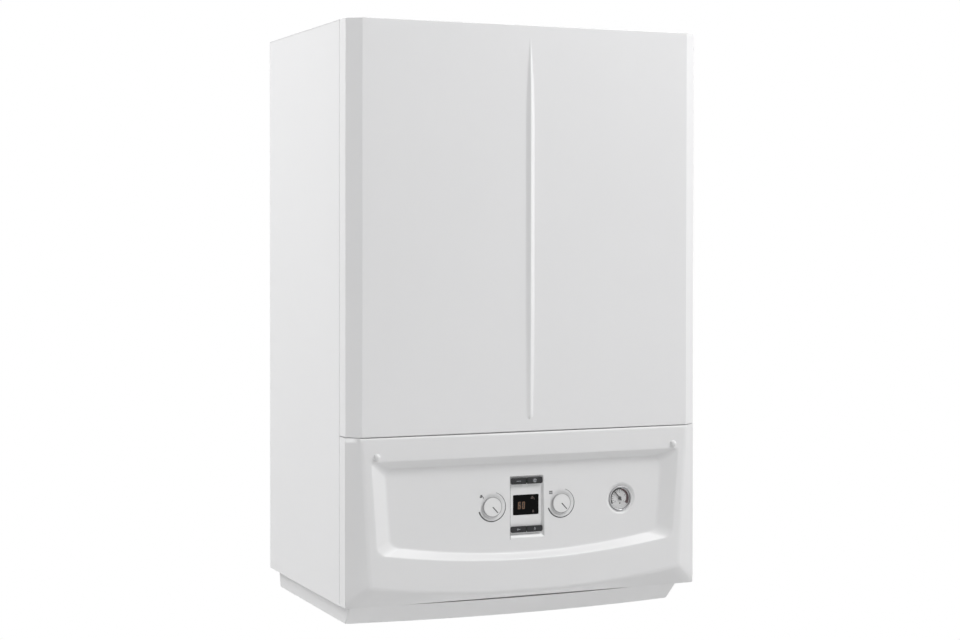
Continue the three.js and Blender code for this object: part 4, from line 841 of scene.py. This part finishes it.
knobs = {-1: ("hot_water_knob", "hot_water_dial"), 1: ("heating_knob", "heating_dial")}
for sign, (node, body) in knobs.items():
    spot = facing(sign * KNOB_X, CONSOLE)
    knob, grey_rim_shade = Shape(), Shape()
    knob.turned([(0, KNOB_FACE), (14.2, KNOB_FACE), (14.55, KNOB_FACE + 0.12),
                 (14.65, KNOB_FACE + 0.4), (14.65, KNOB_BASE - 0.3), (14.3, KNOB_BASE),
                 (3, KNOB_BASE), (3, SPINDLE_END), (0, SPINDLE_END)], spot, 96)
    build(f"{node}_cap", knob, "knob_plastic", body, node)
    # The grey rim ring is partly a real ring and partly painted shade of the gap round the knob's
    # face.
    grey_rim_shade.turned([(14.7, KNOB_FACE + 0.5), (14.75, KNOB_FACE + 0.14), (14.95, KNOB_FACE),
                  (15.3, KNOB_FACE), (15.7, KNOB_FACE + 0.15), (16.0, KNOB_FACE + 0.5),
                  (16.1, KNOB_FACE + 0.9), (16.1, KNOB_BASE - 0.4), (15.9, KNOB_BASE - 0.1),
                  (15.2, KNOB_BASE), (14.7, KNOB_BASE), (14.7, KNOB_FACE + 0.5)], spot, 96)
    build(f"{node}_inlay", grey_rim_shade, "knob_ring_and_shade", body)
    pointer = stroke(polar(0.4, POINTER_TURN), polar(12.4, POINTER_TURN), 1.7, 0.9)
    printed(f"{node}_pointer", "pointer_print", body, ([pointer], spot, KNOB_FACE))

scale = arc_band(22.9, 73, -163, 0.55, 2.2)
printed("knob_scales", "scale_print", "control_panel",
        *(([scale], facing(sign * KNOB_X, CONSOLE), FLOOR) for sign in knobs))
print("knob face at", KNOB_FACE)

# %% [markdown]
# ## Small printed signs
# The real panel prints a tap beside one knob and a radiator beside the other, and small pale signs
# on the keys. Plain signs of the same size stand in their places, drawn from straight strokes and
# arcs.


# %% Signs as strokes
def strokes(lines, width):
    return [stroke(start, end, width) for start, end in lines]


TAP = [((-3.0, 0.6), (1.2, 0.6)), ((1.2, 0.6), (2.4, -0.6)), ((2.4, -0.6), (2.4, -2.2)),
       ((-0.8, 0.6), (-0.8, 2.4)), ((-2.2, 2.6), (0.6, 2.6)), ((-3.0, -0.8), (-0.2, -0.8))]
RADIATOR = [((x, -2.4), (x, 2.4)) for x in (-2.4, -0.8, 0.8, 2.4)]
RADIATOR += [((-2.4, z), (2.4, z)) for z in (1.5, -1.5)]
ARROW = [((-2.6, 0), (2.4, 0)), ((-2.6, 0), (-1.2, 1.1)), ((-2.6, 0), (-1.2, -1.1))]
BARS = [((-3.2, 0), (-2.0, 0)), ((-0.6, 0), (0.6, 0)), ((2.0, 0), (3.2, 0))]
DROP = [((0, 2.0), (-1.2, -0.4)), ((0, 2.0), (1.2, -0.4)), ((-1.2, -0.4), (-0.6, -1.6)),
        ((1.2, -0.4), (0.6, -1.6)), ((-0.6, -1.6), (0.6, -1.6))]
SUN = [(polar(2.3, turn), polar(3.2, turn))
       for turn in (math.radians(45 * k + 22) for k in range(8))]
printed("knob_signs", "sign_print", "control_panel",
        (strokes(TAP, 1.2), facing(-77.0, 160.3), FLOOR),
        (strokes(RADIATOR, 0.8), facing(41.6, 161.4), FLOOR))
print("radiator sign strokes:", len(RADIATOR))

# %% [markdown]
# ## Keys and display
# Four dark keys stand in two rows across the sunk field, level with the recess floor. Their outer
# ends are rounded and the two of a row nearly touch. Between the rows sits the display, a black
# window with two lit digits and two faint signs.

# %% Keys
KEY_HALF, KEY_HIGH = 13.7, 4.95
KEY_ROUND, KEY_NICK = 3.4, 0.6      # corner radii at the outer and at the inner end
KEY_GAP = 0.45                      # how much shorter a key is at its inner end
PIN, PIN_END = 2.5, -401.2


def key_outline(outer, shrink):
    """A key's face: round towards the panel's edge, nearly square towards its neighbour."""
    w, h = KEY_HALF - shrink, KEY_HIGH - shrink
    right, left = (w, KEY_GAP - w) if outer > 0 else (w - KEY_GAP, -w)
    corners = [Vector(corner) for corner in ((right, h), (left, h), (left, -h), (right, -h))]
    path = []
    for k, here in enumerate(corners):
        a = (corners[k - 1] - here).normalized()
        b = (corners[(k + 1) % 4] - here).normalized()
        radius = KEY_ROUND if here.x * outer > 0 else KEY_NICK
        path += [tuple(point) for point in bent(here + a * radius, here, here + b * radius)]
    return path


key_signs = {"key_upper_left": strokes(BARS, 0.9),
             "key_upper_right": [arc_band(1.5, 0, 330, 1.0, 1.0, 24)] + strokes(SUN, 0.8),
             "key_lower_left": strokes(ARROW, 0.9), "key_lower_right": strokes(DROP, 0.9)}
for node, outlines in key_signs.items():
    x, _, z = middle_of(node)
    spot = facing(x, z)
    key = Shape()
    key_rows = key.stack([[spot(u, v, depth) for u, v in key_outline(x, shrink)]
                          for shrink, depth in ((0.55, FLOOR), (0.28, FLOOR + 0.04),
                                                (0.08, FLOOR + 0.2), (0, FLOOR + 0.5),
                                                (0, FLOOR + 0.7), (3.2, FLOOR + 3.0))])
    key.cap(key_rows[0])
    key.cap(key_rows[-1])
    key.turned([(0, FLOOR + 2.8), (PIN, FLOOR + 2.8), (PIN, PIN_END), (0, PIN_END)], spot, 24)
    build(f"{node}_cap", key, "key_plastic", nodes[node]["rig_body"], node)
    printed(f"{node}_sign", "pale_print", nodes[node]["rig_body"], (outlines, spot, FLOOR))
print("keys:", len(key_signs))

# %% Display window and its digits
WINDOW = BAY - 0.3
WINDOW_END = -400.3
GLASS_HALF, GLASS_HIGH, GLASS_ROUND = 22.0, 15.9, 2.0
LIT, LIT_SUNK = 0.03, 0.05
DIGIT_WIDE, DIGIT_STEP, DIGIT_LOW, DIGIT_LEAN = 3.6, 5.25, -7.1, 0.35
LINE, GAP = 0.62, 0.16
WINDOW_EDGE = ((0.35, WINDOW), (0.1, WINDOW + 0.08), (0, WINDOW + 0.3), (0, WINDOW_END))
window = Shape()
window_rows = window.stack([[(x, depth, CONSOLE + z) for x, z in box_outline(
    GLASS_HALF - shrink, GLASS_HIGH - shrink, GLASS_ROUND - shrink)]
    for shrink, depth in WINDOW_EDGE])
window.cap(window_rows[0])
window.cap(window_rows[-1])
build("display_glass", window, "display", "control_panel", "display_window")


def digit(left, missing):
    """The strokes of a seven-stroke digit without the missing one, leaning a little."""
    ends = [((0, 2), (1, 2)), ((0, 1), (0, 2)), ((1, 1), (1, 2)), ((0, 1), (1, 1)),
            ((0, 0), (0, 1)), ((1, 0), (1, 1)), ((0, 0), (1, 0))]
    del ends[missing]
    lines = []
    for (ax, ay), (bx, by) in ends:
        dx, dy = (GAP, 0) if ay == by else (0, GAP * 0.7)
        lines.append([(left + DIGIT_WIDE * x + DIGIT_LEAN * y, DIGIT_STEP * y + DIGIT_LOW)
                      for x, y in ((ax + dx, ay + dy), (bx - dx, by - dy))])
    return strokes(lines, LINE)


digits_spot = facing(0, CONSOLE + 1.0)
glows = [[(left, -7.7), (left + 5.2, -7.7), (left + 5.4, 4.0), (left + 0.2, 4.0)]
         for left in (-13.9, -6.9)]
printed("display_digits", "lit_digits", "control_panel",
        (digit(-13.4, 2) + digit(-6.3, 3), digits_spot, WINDOW), proud=LIT, sunk=LIT_SUNK)
printed("display_haze", "lit_haze", "control_panel", (glows, digits_spot, WINDOW),
        proud=LIT / 2, sunk=LIT_SUNK)
printed("display_signs", "lit_signs", "control_panel",
        (strokes(TAP, 0.8), facing(11.9, 153.8), WINDOW),
        (strokes(DROP, 0.8), facing(12.5, 133.0), WINDOW), proud=LIT, sunk=LIT_SUNK)
print("display at", WINDOW)

# %% [markdown]
# ## Pressure gauge
# The gauge is a small metal can behind a round glass. Its dial carries a dark arc over the working
# range that turns into a broad red one, with tick marks and plain numbers.

# %% Gauge body, dial prints, needle and glass
RIM = FLOOR + 0.2
DIAL = RIM + 4.6
DIAL_HALF, CAN_END = 18.1, RIM + 28
ZERO, SPAN = 214, 250       # where the dial's scale starts and how far it turns, in degrees
NEEDLE_TURN = math.radians(130)
gauge_spot = facing(GAUGE_X, GAUGE_Z)
can, dial, needle, lens = Shape(), Shape(), Shape(), Shape()
can.turned([(0, DIAL + 0.4), (18.2, DIAL + 0.4), (18.2, RIM + 2.6), (17.9, RIM + 2.3),
            (17.9, RIM + 0.7), (18.15, RIM + 0.25), (18.6, RIM), (19.2, RIM), (19.7, RIM + 0.25),
            (20, RIM + 0.8), (20, CAN_END - 4), (17, CAN_END), (0, CAN_END)], gauge_spot, 96)
build("gauge_can", can, "gauge_metal", "control_panel", "gauge_body")
dial.turned([(1.3, DIAL), (DIAL_HALF, DIAL), (DIAL_HALF, DIAL + 0.35), (1.3, DIAL + 0.35),
             (1.3, DIAL)], gauge_spot, 96)
build("gauge_dial", dial, "dial_face", "control_panel")
black_arc = [arc_band(15.2, 78, ZERO, 2.4, 2.2), circle(0.6, -8.6, 1.2, 20)]
red_arc = [arc_band(14.4, 78, ZERO - SPAN, 2.6, 5.4)]
for name, finish, arc in (("black", "dial_print", black_arc), ("red", "dial_red", red_arc)):
    printed(f"gauge_{name}_arc", finish, "control_panel", (arc, gauge_spot, DIAL), proud=0.05)
needle.plate([stroke(polar(-4, NEEDLE_TURN), polar(13.8, NEEDLE_TURN), 1.9, 0.5)],
             gauge_spot, DIAL - 1.2, DIAL - 0.6)
needle.turned([(0, DIAL - 2.0), (1.9, DIAL - 1.9), (2.6, DIAL - 1.6), (2.7, DIAL - 0.5),
               (1, DIAL - 0.5), (1, DIAL + 0.3), (0, DIAL + 0.3)], gauge_spot, 40)
build("gauge_pointer_arm", needle, "dial_print", "gauge_pointer", "gauge_needle")
lens.turned([(0, RIM + 0.75), (8, RIM + 0.85), (14, RIM + 1.1), (17.75, RIM + 1.4),
             (17.75, RIM + 2.0), (0, RIM + 2.0)], gauge_spot, 72)
build("gauge_glass_disc", lens, "gauge_glass", "control_panel", "gauge_lens")
print("dial at", round(DIAL, 2))

# %% [markdown]
# ## Repeating things in a ring
# Tick marks, nuts and cooling ribs all stand in a ring round some axis. One Geometry Nodes tree
# does it: an arc of points, an instance on each turned to follow the arc, then Realize Instances
# and Set Material, because an exported mesh can't hold instances. Its sizes are named inputs, set
# by the socket's identifier before the result is read.

# %% A tree that sets copies in a ring
RING = bpy.data.node_groups.new("copies_in_a_ring", "GeometryNodeTree")
for name, kind in (("Count", "Int"), ("Radius", "Float"), ("Start", "Float"), ("Step", "Float"),
                   ("Shape", "Object"), ("Finish", "Material")):
    RING.interface.new_socket(name, in_out="INPUT", socket_type=f"NodeSocket{kind}")
RING.interface.new_socket("Geometry", in_out="OUTPUT", socket_type="NodeSocketGeometry")
ring = Tree(RING)
given = ring.make("NodeGroupInput").outputs
index = Number(ring, ring.make("GeometryNodeInputIndex").outputs[0])
turned = index * given["Step"] + given["Start"]
spot = ring.make("ShaderNodeCombineXYZ", {"X": ring.maths("COSINE", turned) * given["Radius"],
                                          "Y": ring.maths("SINE", turned) * given["Radius"]})
angle = ring.make("ShaderNodeCombineXYZ", {"Z": turned})
points = ring.make("GeometryNodePoints", {"Count": given["Count"], "Position": spot.outputs[0]})
shape = ring.make("GeometryNodeObjectInfo", {"Object": given["Shape"]})
copies = ring.make("GeometryNodeInstanceOnPoints", {
    "Points": points.outputs[0], "Instance": shape.outputs["Geometry"],
    "Rotation": angle.outputs[0]})
real = ring.make("GeometryNodeRealizeInstances", {"Geometry": copies.outputs[0]})
coated = ring.make("GeometryNodeSetMaterial", {
    "Geometry": real.outputs[0], "Material": given["Finish"]})
ring.make("NodeGroupOutput", {0: coated.outputs[0]})


def copies_in_a_ring(name, shape, count, radius, start, step, finish, body, spot):
    """The shape, drawn at the ring's centre with +x outwards, copied round it as one plain mesh."""
    seed = bpy.data.meshes.new(f"{name}_seed")
    seed.from_pydata([Vector(p) / 1000 for p in shape.points], [], shape.faces)
    cleaned(seed)
    pattern = placed(f"{name}_seed", seed)
    holder = placed(f"{name}_holder", bpy.data.meshes.new(f"{name}_holder"))
    modifier = holder.modifiers.new("ring", "NODES")
    modifier.node_group = RING
    values = {"Count": count, "Radius": radius / 1000, "Start": math.radians(start),
              "Step": math.radians(step), "Shape": pattern, "Finish": finishes[finish]}
    for socket in RING.interface.items_tree:
        if socket.in_out == "INPUT":
            modifier[socket.identifier] = values[socket.name]
    ready = holder.evaluated_get(bpy.context.evaluated_depsgraph_get())
    mesh = bpy.data.meshes.new_from_object(ready)
    mesh.name = name
    holder.modifiers.remove(modifier)
    for vertex in mesh.vertices:
        vertex.co = place(*spot(*(vertex.co * 1000)))
    cleaned(mesh)
    for item in (pattern, holder):
        bpy.data.objects.remove(item)
    return dress(placed(name, mesh), finish, body)


tick = Shape()
tick.plate([[(-1.3, -0.3), (1.3, -0.3), (1.3, 0.3), (-1.3, 0.3)]], lying, -0.05, SUNK)
ticks = copies_in_a_ring("gauge_ticks", tick, 17, 12.6, ZERO, -SPAN / 16, "dial_print",
                         "control_panel", lambda u, v, d: gauge_spot(u, v, DIAL + d))
print("tick mark faces:", len(ticks.data.polygons))

# %% Numbers on the dial
font = bpy.data.curves.new("gauge_numbers", "FONT")
font.size, font.align_x, font.align_y = 3.6, "CENTER", "CENTER"
numbers = Shape()
for number in range(5):
    turn = math.radians(ZERO - SPAN / 4 * number)
    font.body = str(number)
    letter = placed("letter", font)
    flat = bpy.data.meshes.new_from_object(letter.evaluated_get(
        bpy.context.evaluated_depsgraph_get()))
    start = len(numbers.points)
    numbers.points += [gauge_spot(*polar(9.6, turn, p.co.x, p.co.y), DIAL - 0.04)
                       for p in flat.vertices]
    numbers.faces += [tuple(start + i for i in face.vertices) for face in flat.polygons]
    bpy.data.objects.remove(letter)
number_plate = build("gauge_numbers", numbers, "dial_print", "control_panel", wall=0.08,
                     outward=(0, -1, 0))
print("number faces:", len(number_plate.data.polygons))

# %% [markdown]
# ## Bottom tray
# The tray closes the case below. Its front bows forward in the middle and leans back as it goes
# down. Its upper edge slopes back behind the lower cover, so that the cover folds down past it.
# The rings are plan outlines at rising heights, and small bends run round the lower edge.

# %% Bottom tray
TRAY_TOP, TRAY_FOOT, TRAY_WALL = -3.0, -35.0, 2.4
TRAY_TONGUE = 2.0           # top of the inner edge that reaches into the case
# Heights and insets of the rings: outside from foot to top, then down again inside.
TRAY_RINGS = ((TRAY_FOOT, 2.6), (TRAY_FOOT + 0.35, 1.1), (TRAY_FOOT + 1.1, 0.35),
              (TRAY_FOOT + 2.6, 0), (TRAY_TOP - 0.2, 0), (TRAY_TOP + 0.4, 2.4), (TRAY_TOP + 1.1, 4),
              (TRAY_TOP + 2.2, 6), (TRAY_TONGUE, 8.6), (TRAY_TONGUE, 10),
              (TRAY_TOP - TRAY_WALL, 10), (TRAY_TOP - TRAY_WALL, 2.4), (TRAY_FOOT + 2.6, 2.9),
              (TRAY_FOOT + 2.5, 6))


def tray_ring(z, inset):
    share = (TRAY_TOP - z) / (TRAY_TOP - TRAY_FOOT)
    half = SIDE - (16 + 2.5 * share) - inset
    reach, bow = 383 - 32 * share - inset, 22 + 3 * share
    front = [(half * x, -reach - bow * (1 - x ** 2)) for x in (1 - k / 20 for k in range(41))]
    back = -1 - inset
    corner = rounded([(half, back), front[0], front[1]], 4, 4)[1:-1]
    path = [(-half, back), (half, back)] + corner + front[1:-1]
    return path + [(-x, y) for x, y in corner[::-1]]


tray = Shape()
tray_rows = tray.stack([[(x, y, z) for x, y in tray_ring(z, inset)] for z, inset in TRAY_RINGS])
pipe_slot = [(-245, -70), (245, -70), (245, -150), (-245, -150)]
under, inner = (tray.ring([(x, y, z) for x, y in pipe_slot]) for z in (TRAY_FOOT, TRAY_FOOT + 2.5))
tray.cap(tray_rows[0], under)
tray.cap(tray_rows[-1], inner)
tray.band(under, inner)
for sign in (-1, 1):
    for y in (-40, -300):
        x0, x1 = sign * 280.9, sign * 278.1
        tray.plate([[(x0, y), (x1, y), (x1, y - 24), (x0, y - 24)]], lying, TRAY_FOOT + 2, 5.7)
build("tray_moulding", tray, "white_plastic", "casing", "bottom_tray", sharp=40)
print("tray points:", len(tray.points))

# %% [markdown]
# ## Hinge
# The lower cover folds down about two pins at its foot. Each side strip ends in a small ear with a
# pin, and the cover has a lug with a bore round it.

# %% Hinge ears, pins and lugs
HINGE_Y, HINGE_Z = -404.0, 5.0
EAR, EAR_END = 4.2, 23.0
ear_outline = [polar(EAR, math.radians(-90 - 15 * k)) for k in range(13)]
ear_outline += [(EAR_END, EAR), (EAR_END, -EAR)]


def sideways(sign):
    """Outline axes for shapes that face a side: u back, v up, depth from the middle outwards."""
    return lambda u, v, depth: (sign * depth, HINGE_Y + u, HINGE_Z + v)


for word, sign in SIDES:
    ear, lug = Shape(), Shape()
    ear.plate([ear_outline], sideways(sign), 284, 286)
    ear.turned([(0, 279.9), (2.1, 279.9), (2.5, 280.3), (2.5, 285), (0, 285)], sideways(sign), 32)
    build(f"{word}_hinge_ear", ear, "white_paint", "casing")
    lug.plate([box_outline(4.6, 4.0, 1.2, -0.6, 0.3, 3), circle(0, 0, 2.85, 32)], sideways(sign),
              280.9, 285.5)
    build(f"{word}_hinge_lug", lug, "white_plastic", "control_panel")
print("hinge at", HINGE_Y, HINGE_Z)

# %% [markdown]
# ## Inside the case
# The inner parts keep the frame's own shapes. A copy of each is joined up, its flat faces are
# merged, and every hard edge gets the small radius that a cast, turned or folded edge has. The
# copy then stands for the frame's solid and moves with the same body.

# %% Inner parts
INNER = {
    "zinc_sheet": ("wall_bracket", "back_panel", "support_shelf", "pipe_plate"),
    "stainless": ("storage_tank", "tank_coil", "heat_exchanger", "burner_tube", "pump_rotor"),
    "foam": ("tank_jacket",),
    "brass": ("tank_flange", "tank_anode", "diverter_body", "diverter_stem", "hydraulic_manifold",
              "relief_valve"),
    "cast_aluminium": ("burner_door", "flue_duct", "fan_housing", "fan_impeller", "gas_valve",
                       "pump_body"),
    "white_plastic": ("flue_collar",),
    "black_plastic": ("fan_motor", "diverter_actuator", "pump_motor", "filling_handle",
                      "mains_gland"),
    "copper": ("gas_line", "flow_pipe", "hot_pipe", "cold_pipe", "return_pipe", "gas_pipe"),
    "dark_plastic": ("condensate_trap", "control_box"),
    "red_paint": ("heating_vessel",),
    "red_plastic": ("relief_knob",),
    "circuit_board": ("control_board",),
    "white_paint": ("potable_vessel",),
}
# Edge radii, in millimetres; every other finish has 0.8.
FINE = {"zinc_sheet": 0.3, "circuit_board": 0.25, "stainless": 0.3, "foam": 3.0, "copper": 0.5}


def refined(name, finish):
    """A copy of a frame solid with merged flats and soft edges, standing for that solid."""
    mesh = nodes[name].data.copy()
    mesh.name = f"{name}_fine"
    mesh.transform(nodes[name].matrix_world)
    cleaned(mesh, sharp=35, merge_flats=True)
    item = placed(f"{name}_fine", mesh)
    softened(item, FINE.get(finish, 0.8), limit=55)
    return dress(item, finish, nodes[name]["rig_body"], name)


inner_parts = [refined(name, finish) for finish, names in INNER.items() for name in names]
print("inner parts:", len(inner_parts))

# %% Nuts and cooling ribs
BURNER_X = middle_of("burner_door")[0]
BURNER_Z = (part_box("burner_door")[1].z - FOOT) * 1000 - 108
DOOR_FACE = -344.3
NUT_CIRCLE, MOTOR_RADIUS = 97, 37.4
nut = Shape()
nut.turned([(0, 0.2), (5.2, 0.2), (5.8, -0.6), (5.8, -4.6), (5.2, -5.4), (2.6, -5.4), (2.6, -7.4),
            (2.1, -7.9), (0, -7.9)], lying, 6)
copies_in_a_ring("burner_door_nuts", nut, 6, NUT_CIRCLE, 60, 60, "stainless", "casing",
                 lambda u, v, d: (BURNER_X + u, DOOR_FACE + d, BURNER_Z + v))
PUMP_X, PUMP_Y, PUMP_Z = middle_of("pump_motor")[0], -187, 128
rib = Shape()
rib.plate([[(-1.5, -1.1), (2.6, -0.8), (2.6, 0.8), (-1.5, 1.1)]], lying, -34, 34)
copies_in_a_ring("pump_motor_ribs", rib, 18, MOTOR_RADIUS, -240, 300 / 17, "black_plastic",
                 "casing", lambda u, v, d: (PUMP_X + u, PUMP_Y + d, PUMP_Z + v))
print("burner at", round(BURNER_X, 1), round(BURNER_Z, 1), "pump at", round(PUMP_X, 1))

# %% [markdown]
# ## Light, floor and camera
# The studio is plain: an even pale world and six broad soft lamps. Two of them stand on the left
# and shine along the side panel, the strongest is high on the right, and three weak ones fill in
# from the right, from above and from below. Camera and mirror rays see pure white behind the
# boiler, while its own light stays at the level at which a colour renders as it is written.


# %% World and floor
def split_rays(owner, output, lit, seen):
    """The first shader for rays of light, the second for a straight look, a mirror or a glass."""
    owner.use_nodes = True
    tree = Tree(owner.node_tree)
    rays = tree.make("ShaderNodeLightPath").outputs
    looks = tree.maths("MAXIMUM", rays["Is Camera Ray"], rays["Is Glossy Ray"])
    looks = tree.maths("MAXIMUM", looks, rays["Is Transmission Ray"])
    first, second = (tree.make(kind, sockets).outputs[0] for kind, sockets in (lit, seen))
    mix = tree.make("ShaderNodeMixShader", {0: looks, 1: first, 2: second})
    tree.make(output, {0: mix.outputs[0]})


world = bpy.data.worlds.new("studio")
bpy.context.scene.world = world
split_rays(world, "ShaderNodeOutputWorld",
           ("ShaderNodeBackground", {"Color": (1, 1, 1), "Strength": 0.2}),
           ("ShaderNodeBackground", {"Color": (1, 1, 1)}))
floor_paint = bpy.data.materials.new("studio_floor")
split_rays(floor_paint, "ShaderNodeOutputMaterial",
           ("ShaderNodeBsdfDiffuse", {"Color": (0.8, 0.8, 0.8)}), ("ShaderNodeEmission", {}))

DROP_TO_FLOOR = 0.9
floor_mesh = bpy.data.meshes.new("studio_floor")
floor_mesh.from_pydata([(x, y, FOOT - DROP_TO_FLOOR) for x, y in
                        ((-4, -4), (4, -4), (4, 3), (-4, 3))], [], [(0, 1, 2, 3)])
studio_floor = placed("studio_floor", floor_mesh)
floor_mesh.materials.append(floor_paint)
print("floor", DROP_TO_FLOOR, "m below the case")


# %% Lamps
def soft_lamp(name, spot, aim, width, height, power):
    lamp = bpy.data.lights.new(name, "AREA")
    lamp.shape, lamp.size, lamp.size_y, lamp.energy = "RECTANGLE", width, height, power
    item = placed(name, lamp)
    item.location = spot
    item.rotation_euler = (Vector(aim) - Vector(spot)).to_track_quat("-Z", "Y").to_euler()


MIDDLE = (0, -0.2, FOOT + 0.45)
soft_lamp("left_lamp", (-2.6, 0.3, FOOT + 1.9), MIDDLE, 1.6, 1.6, 48)
soft_lamp("high_left_lamp", (-2.0, -0.2, FOOT + 2.6), (-0.3, -0.2, FOOT + 0.8), 1.2, 1.2, 10)
soft_lamp("right_lamp", (1.6, -2.0, FOOT + 2.9), MIDDLE, 1.4, 1.4, 85)
soft_lamp("side_lamp", (3.0, -1.2, FOOT + 1.0), MIDDLE, 1.4, 1.6, 11)
soft_lamp("top_lamp", (0.0, -0.6, FOOT + 3.2), MIDDLE, 1.6, 1.4, 6)
soft_lamp("low_lamp", (-1.0, -3.1, FOOT - 0.4), MIDDLE, 1.3, 0.8, 13)
print("lamps:", len(bpy.data.lights))

# %% Camera
camera = bpy.data.cameras.new("camera")
camera.lens, camera.sensor_width = 72.82, 36
camera.shift_x, camera.shift_y = -0.0445, -0.0521
viewer = placed("camera", camera)
viewer.location = (-1.2311856, -3.2199575, -0.2724143)
turn, dip, roll = math.radians(23.553), math.radians(0.974), math.radians(0.073)
ahead = Vector((math.sin(turn) * math.cos(dip), math.cos(turn) * math.cos(dip), -math.sin(dip)))
level = Vector((math.cos(turn), -math.sin(turn), 0))
side = level * math.cos(roll) + level.cross(ahead) * math.sin(roll)
viewer.rotation_euler = Matrix((side, side.cross(ahead), -ahead)).transposed().to_euler()
bpy.context.scene.camera = viewer
bpy.context.scene.view_settings.view_transform = "Standard"
print("camera", [round(v, 3) for v in viewer.location])
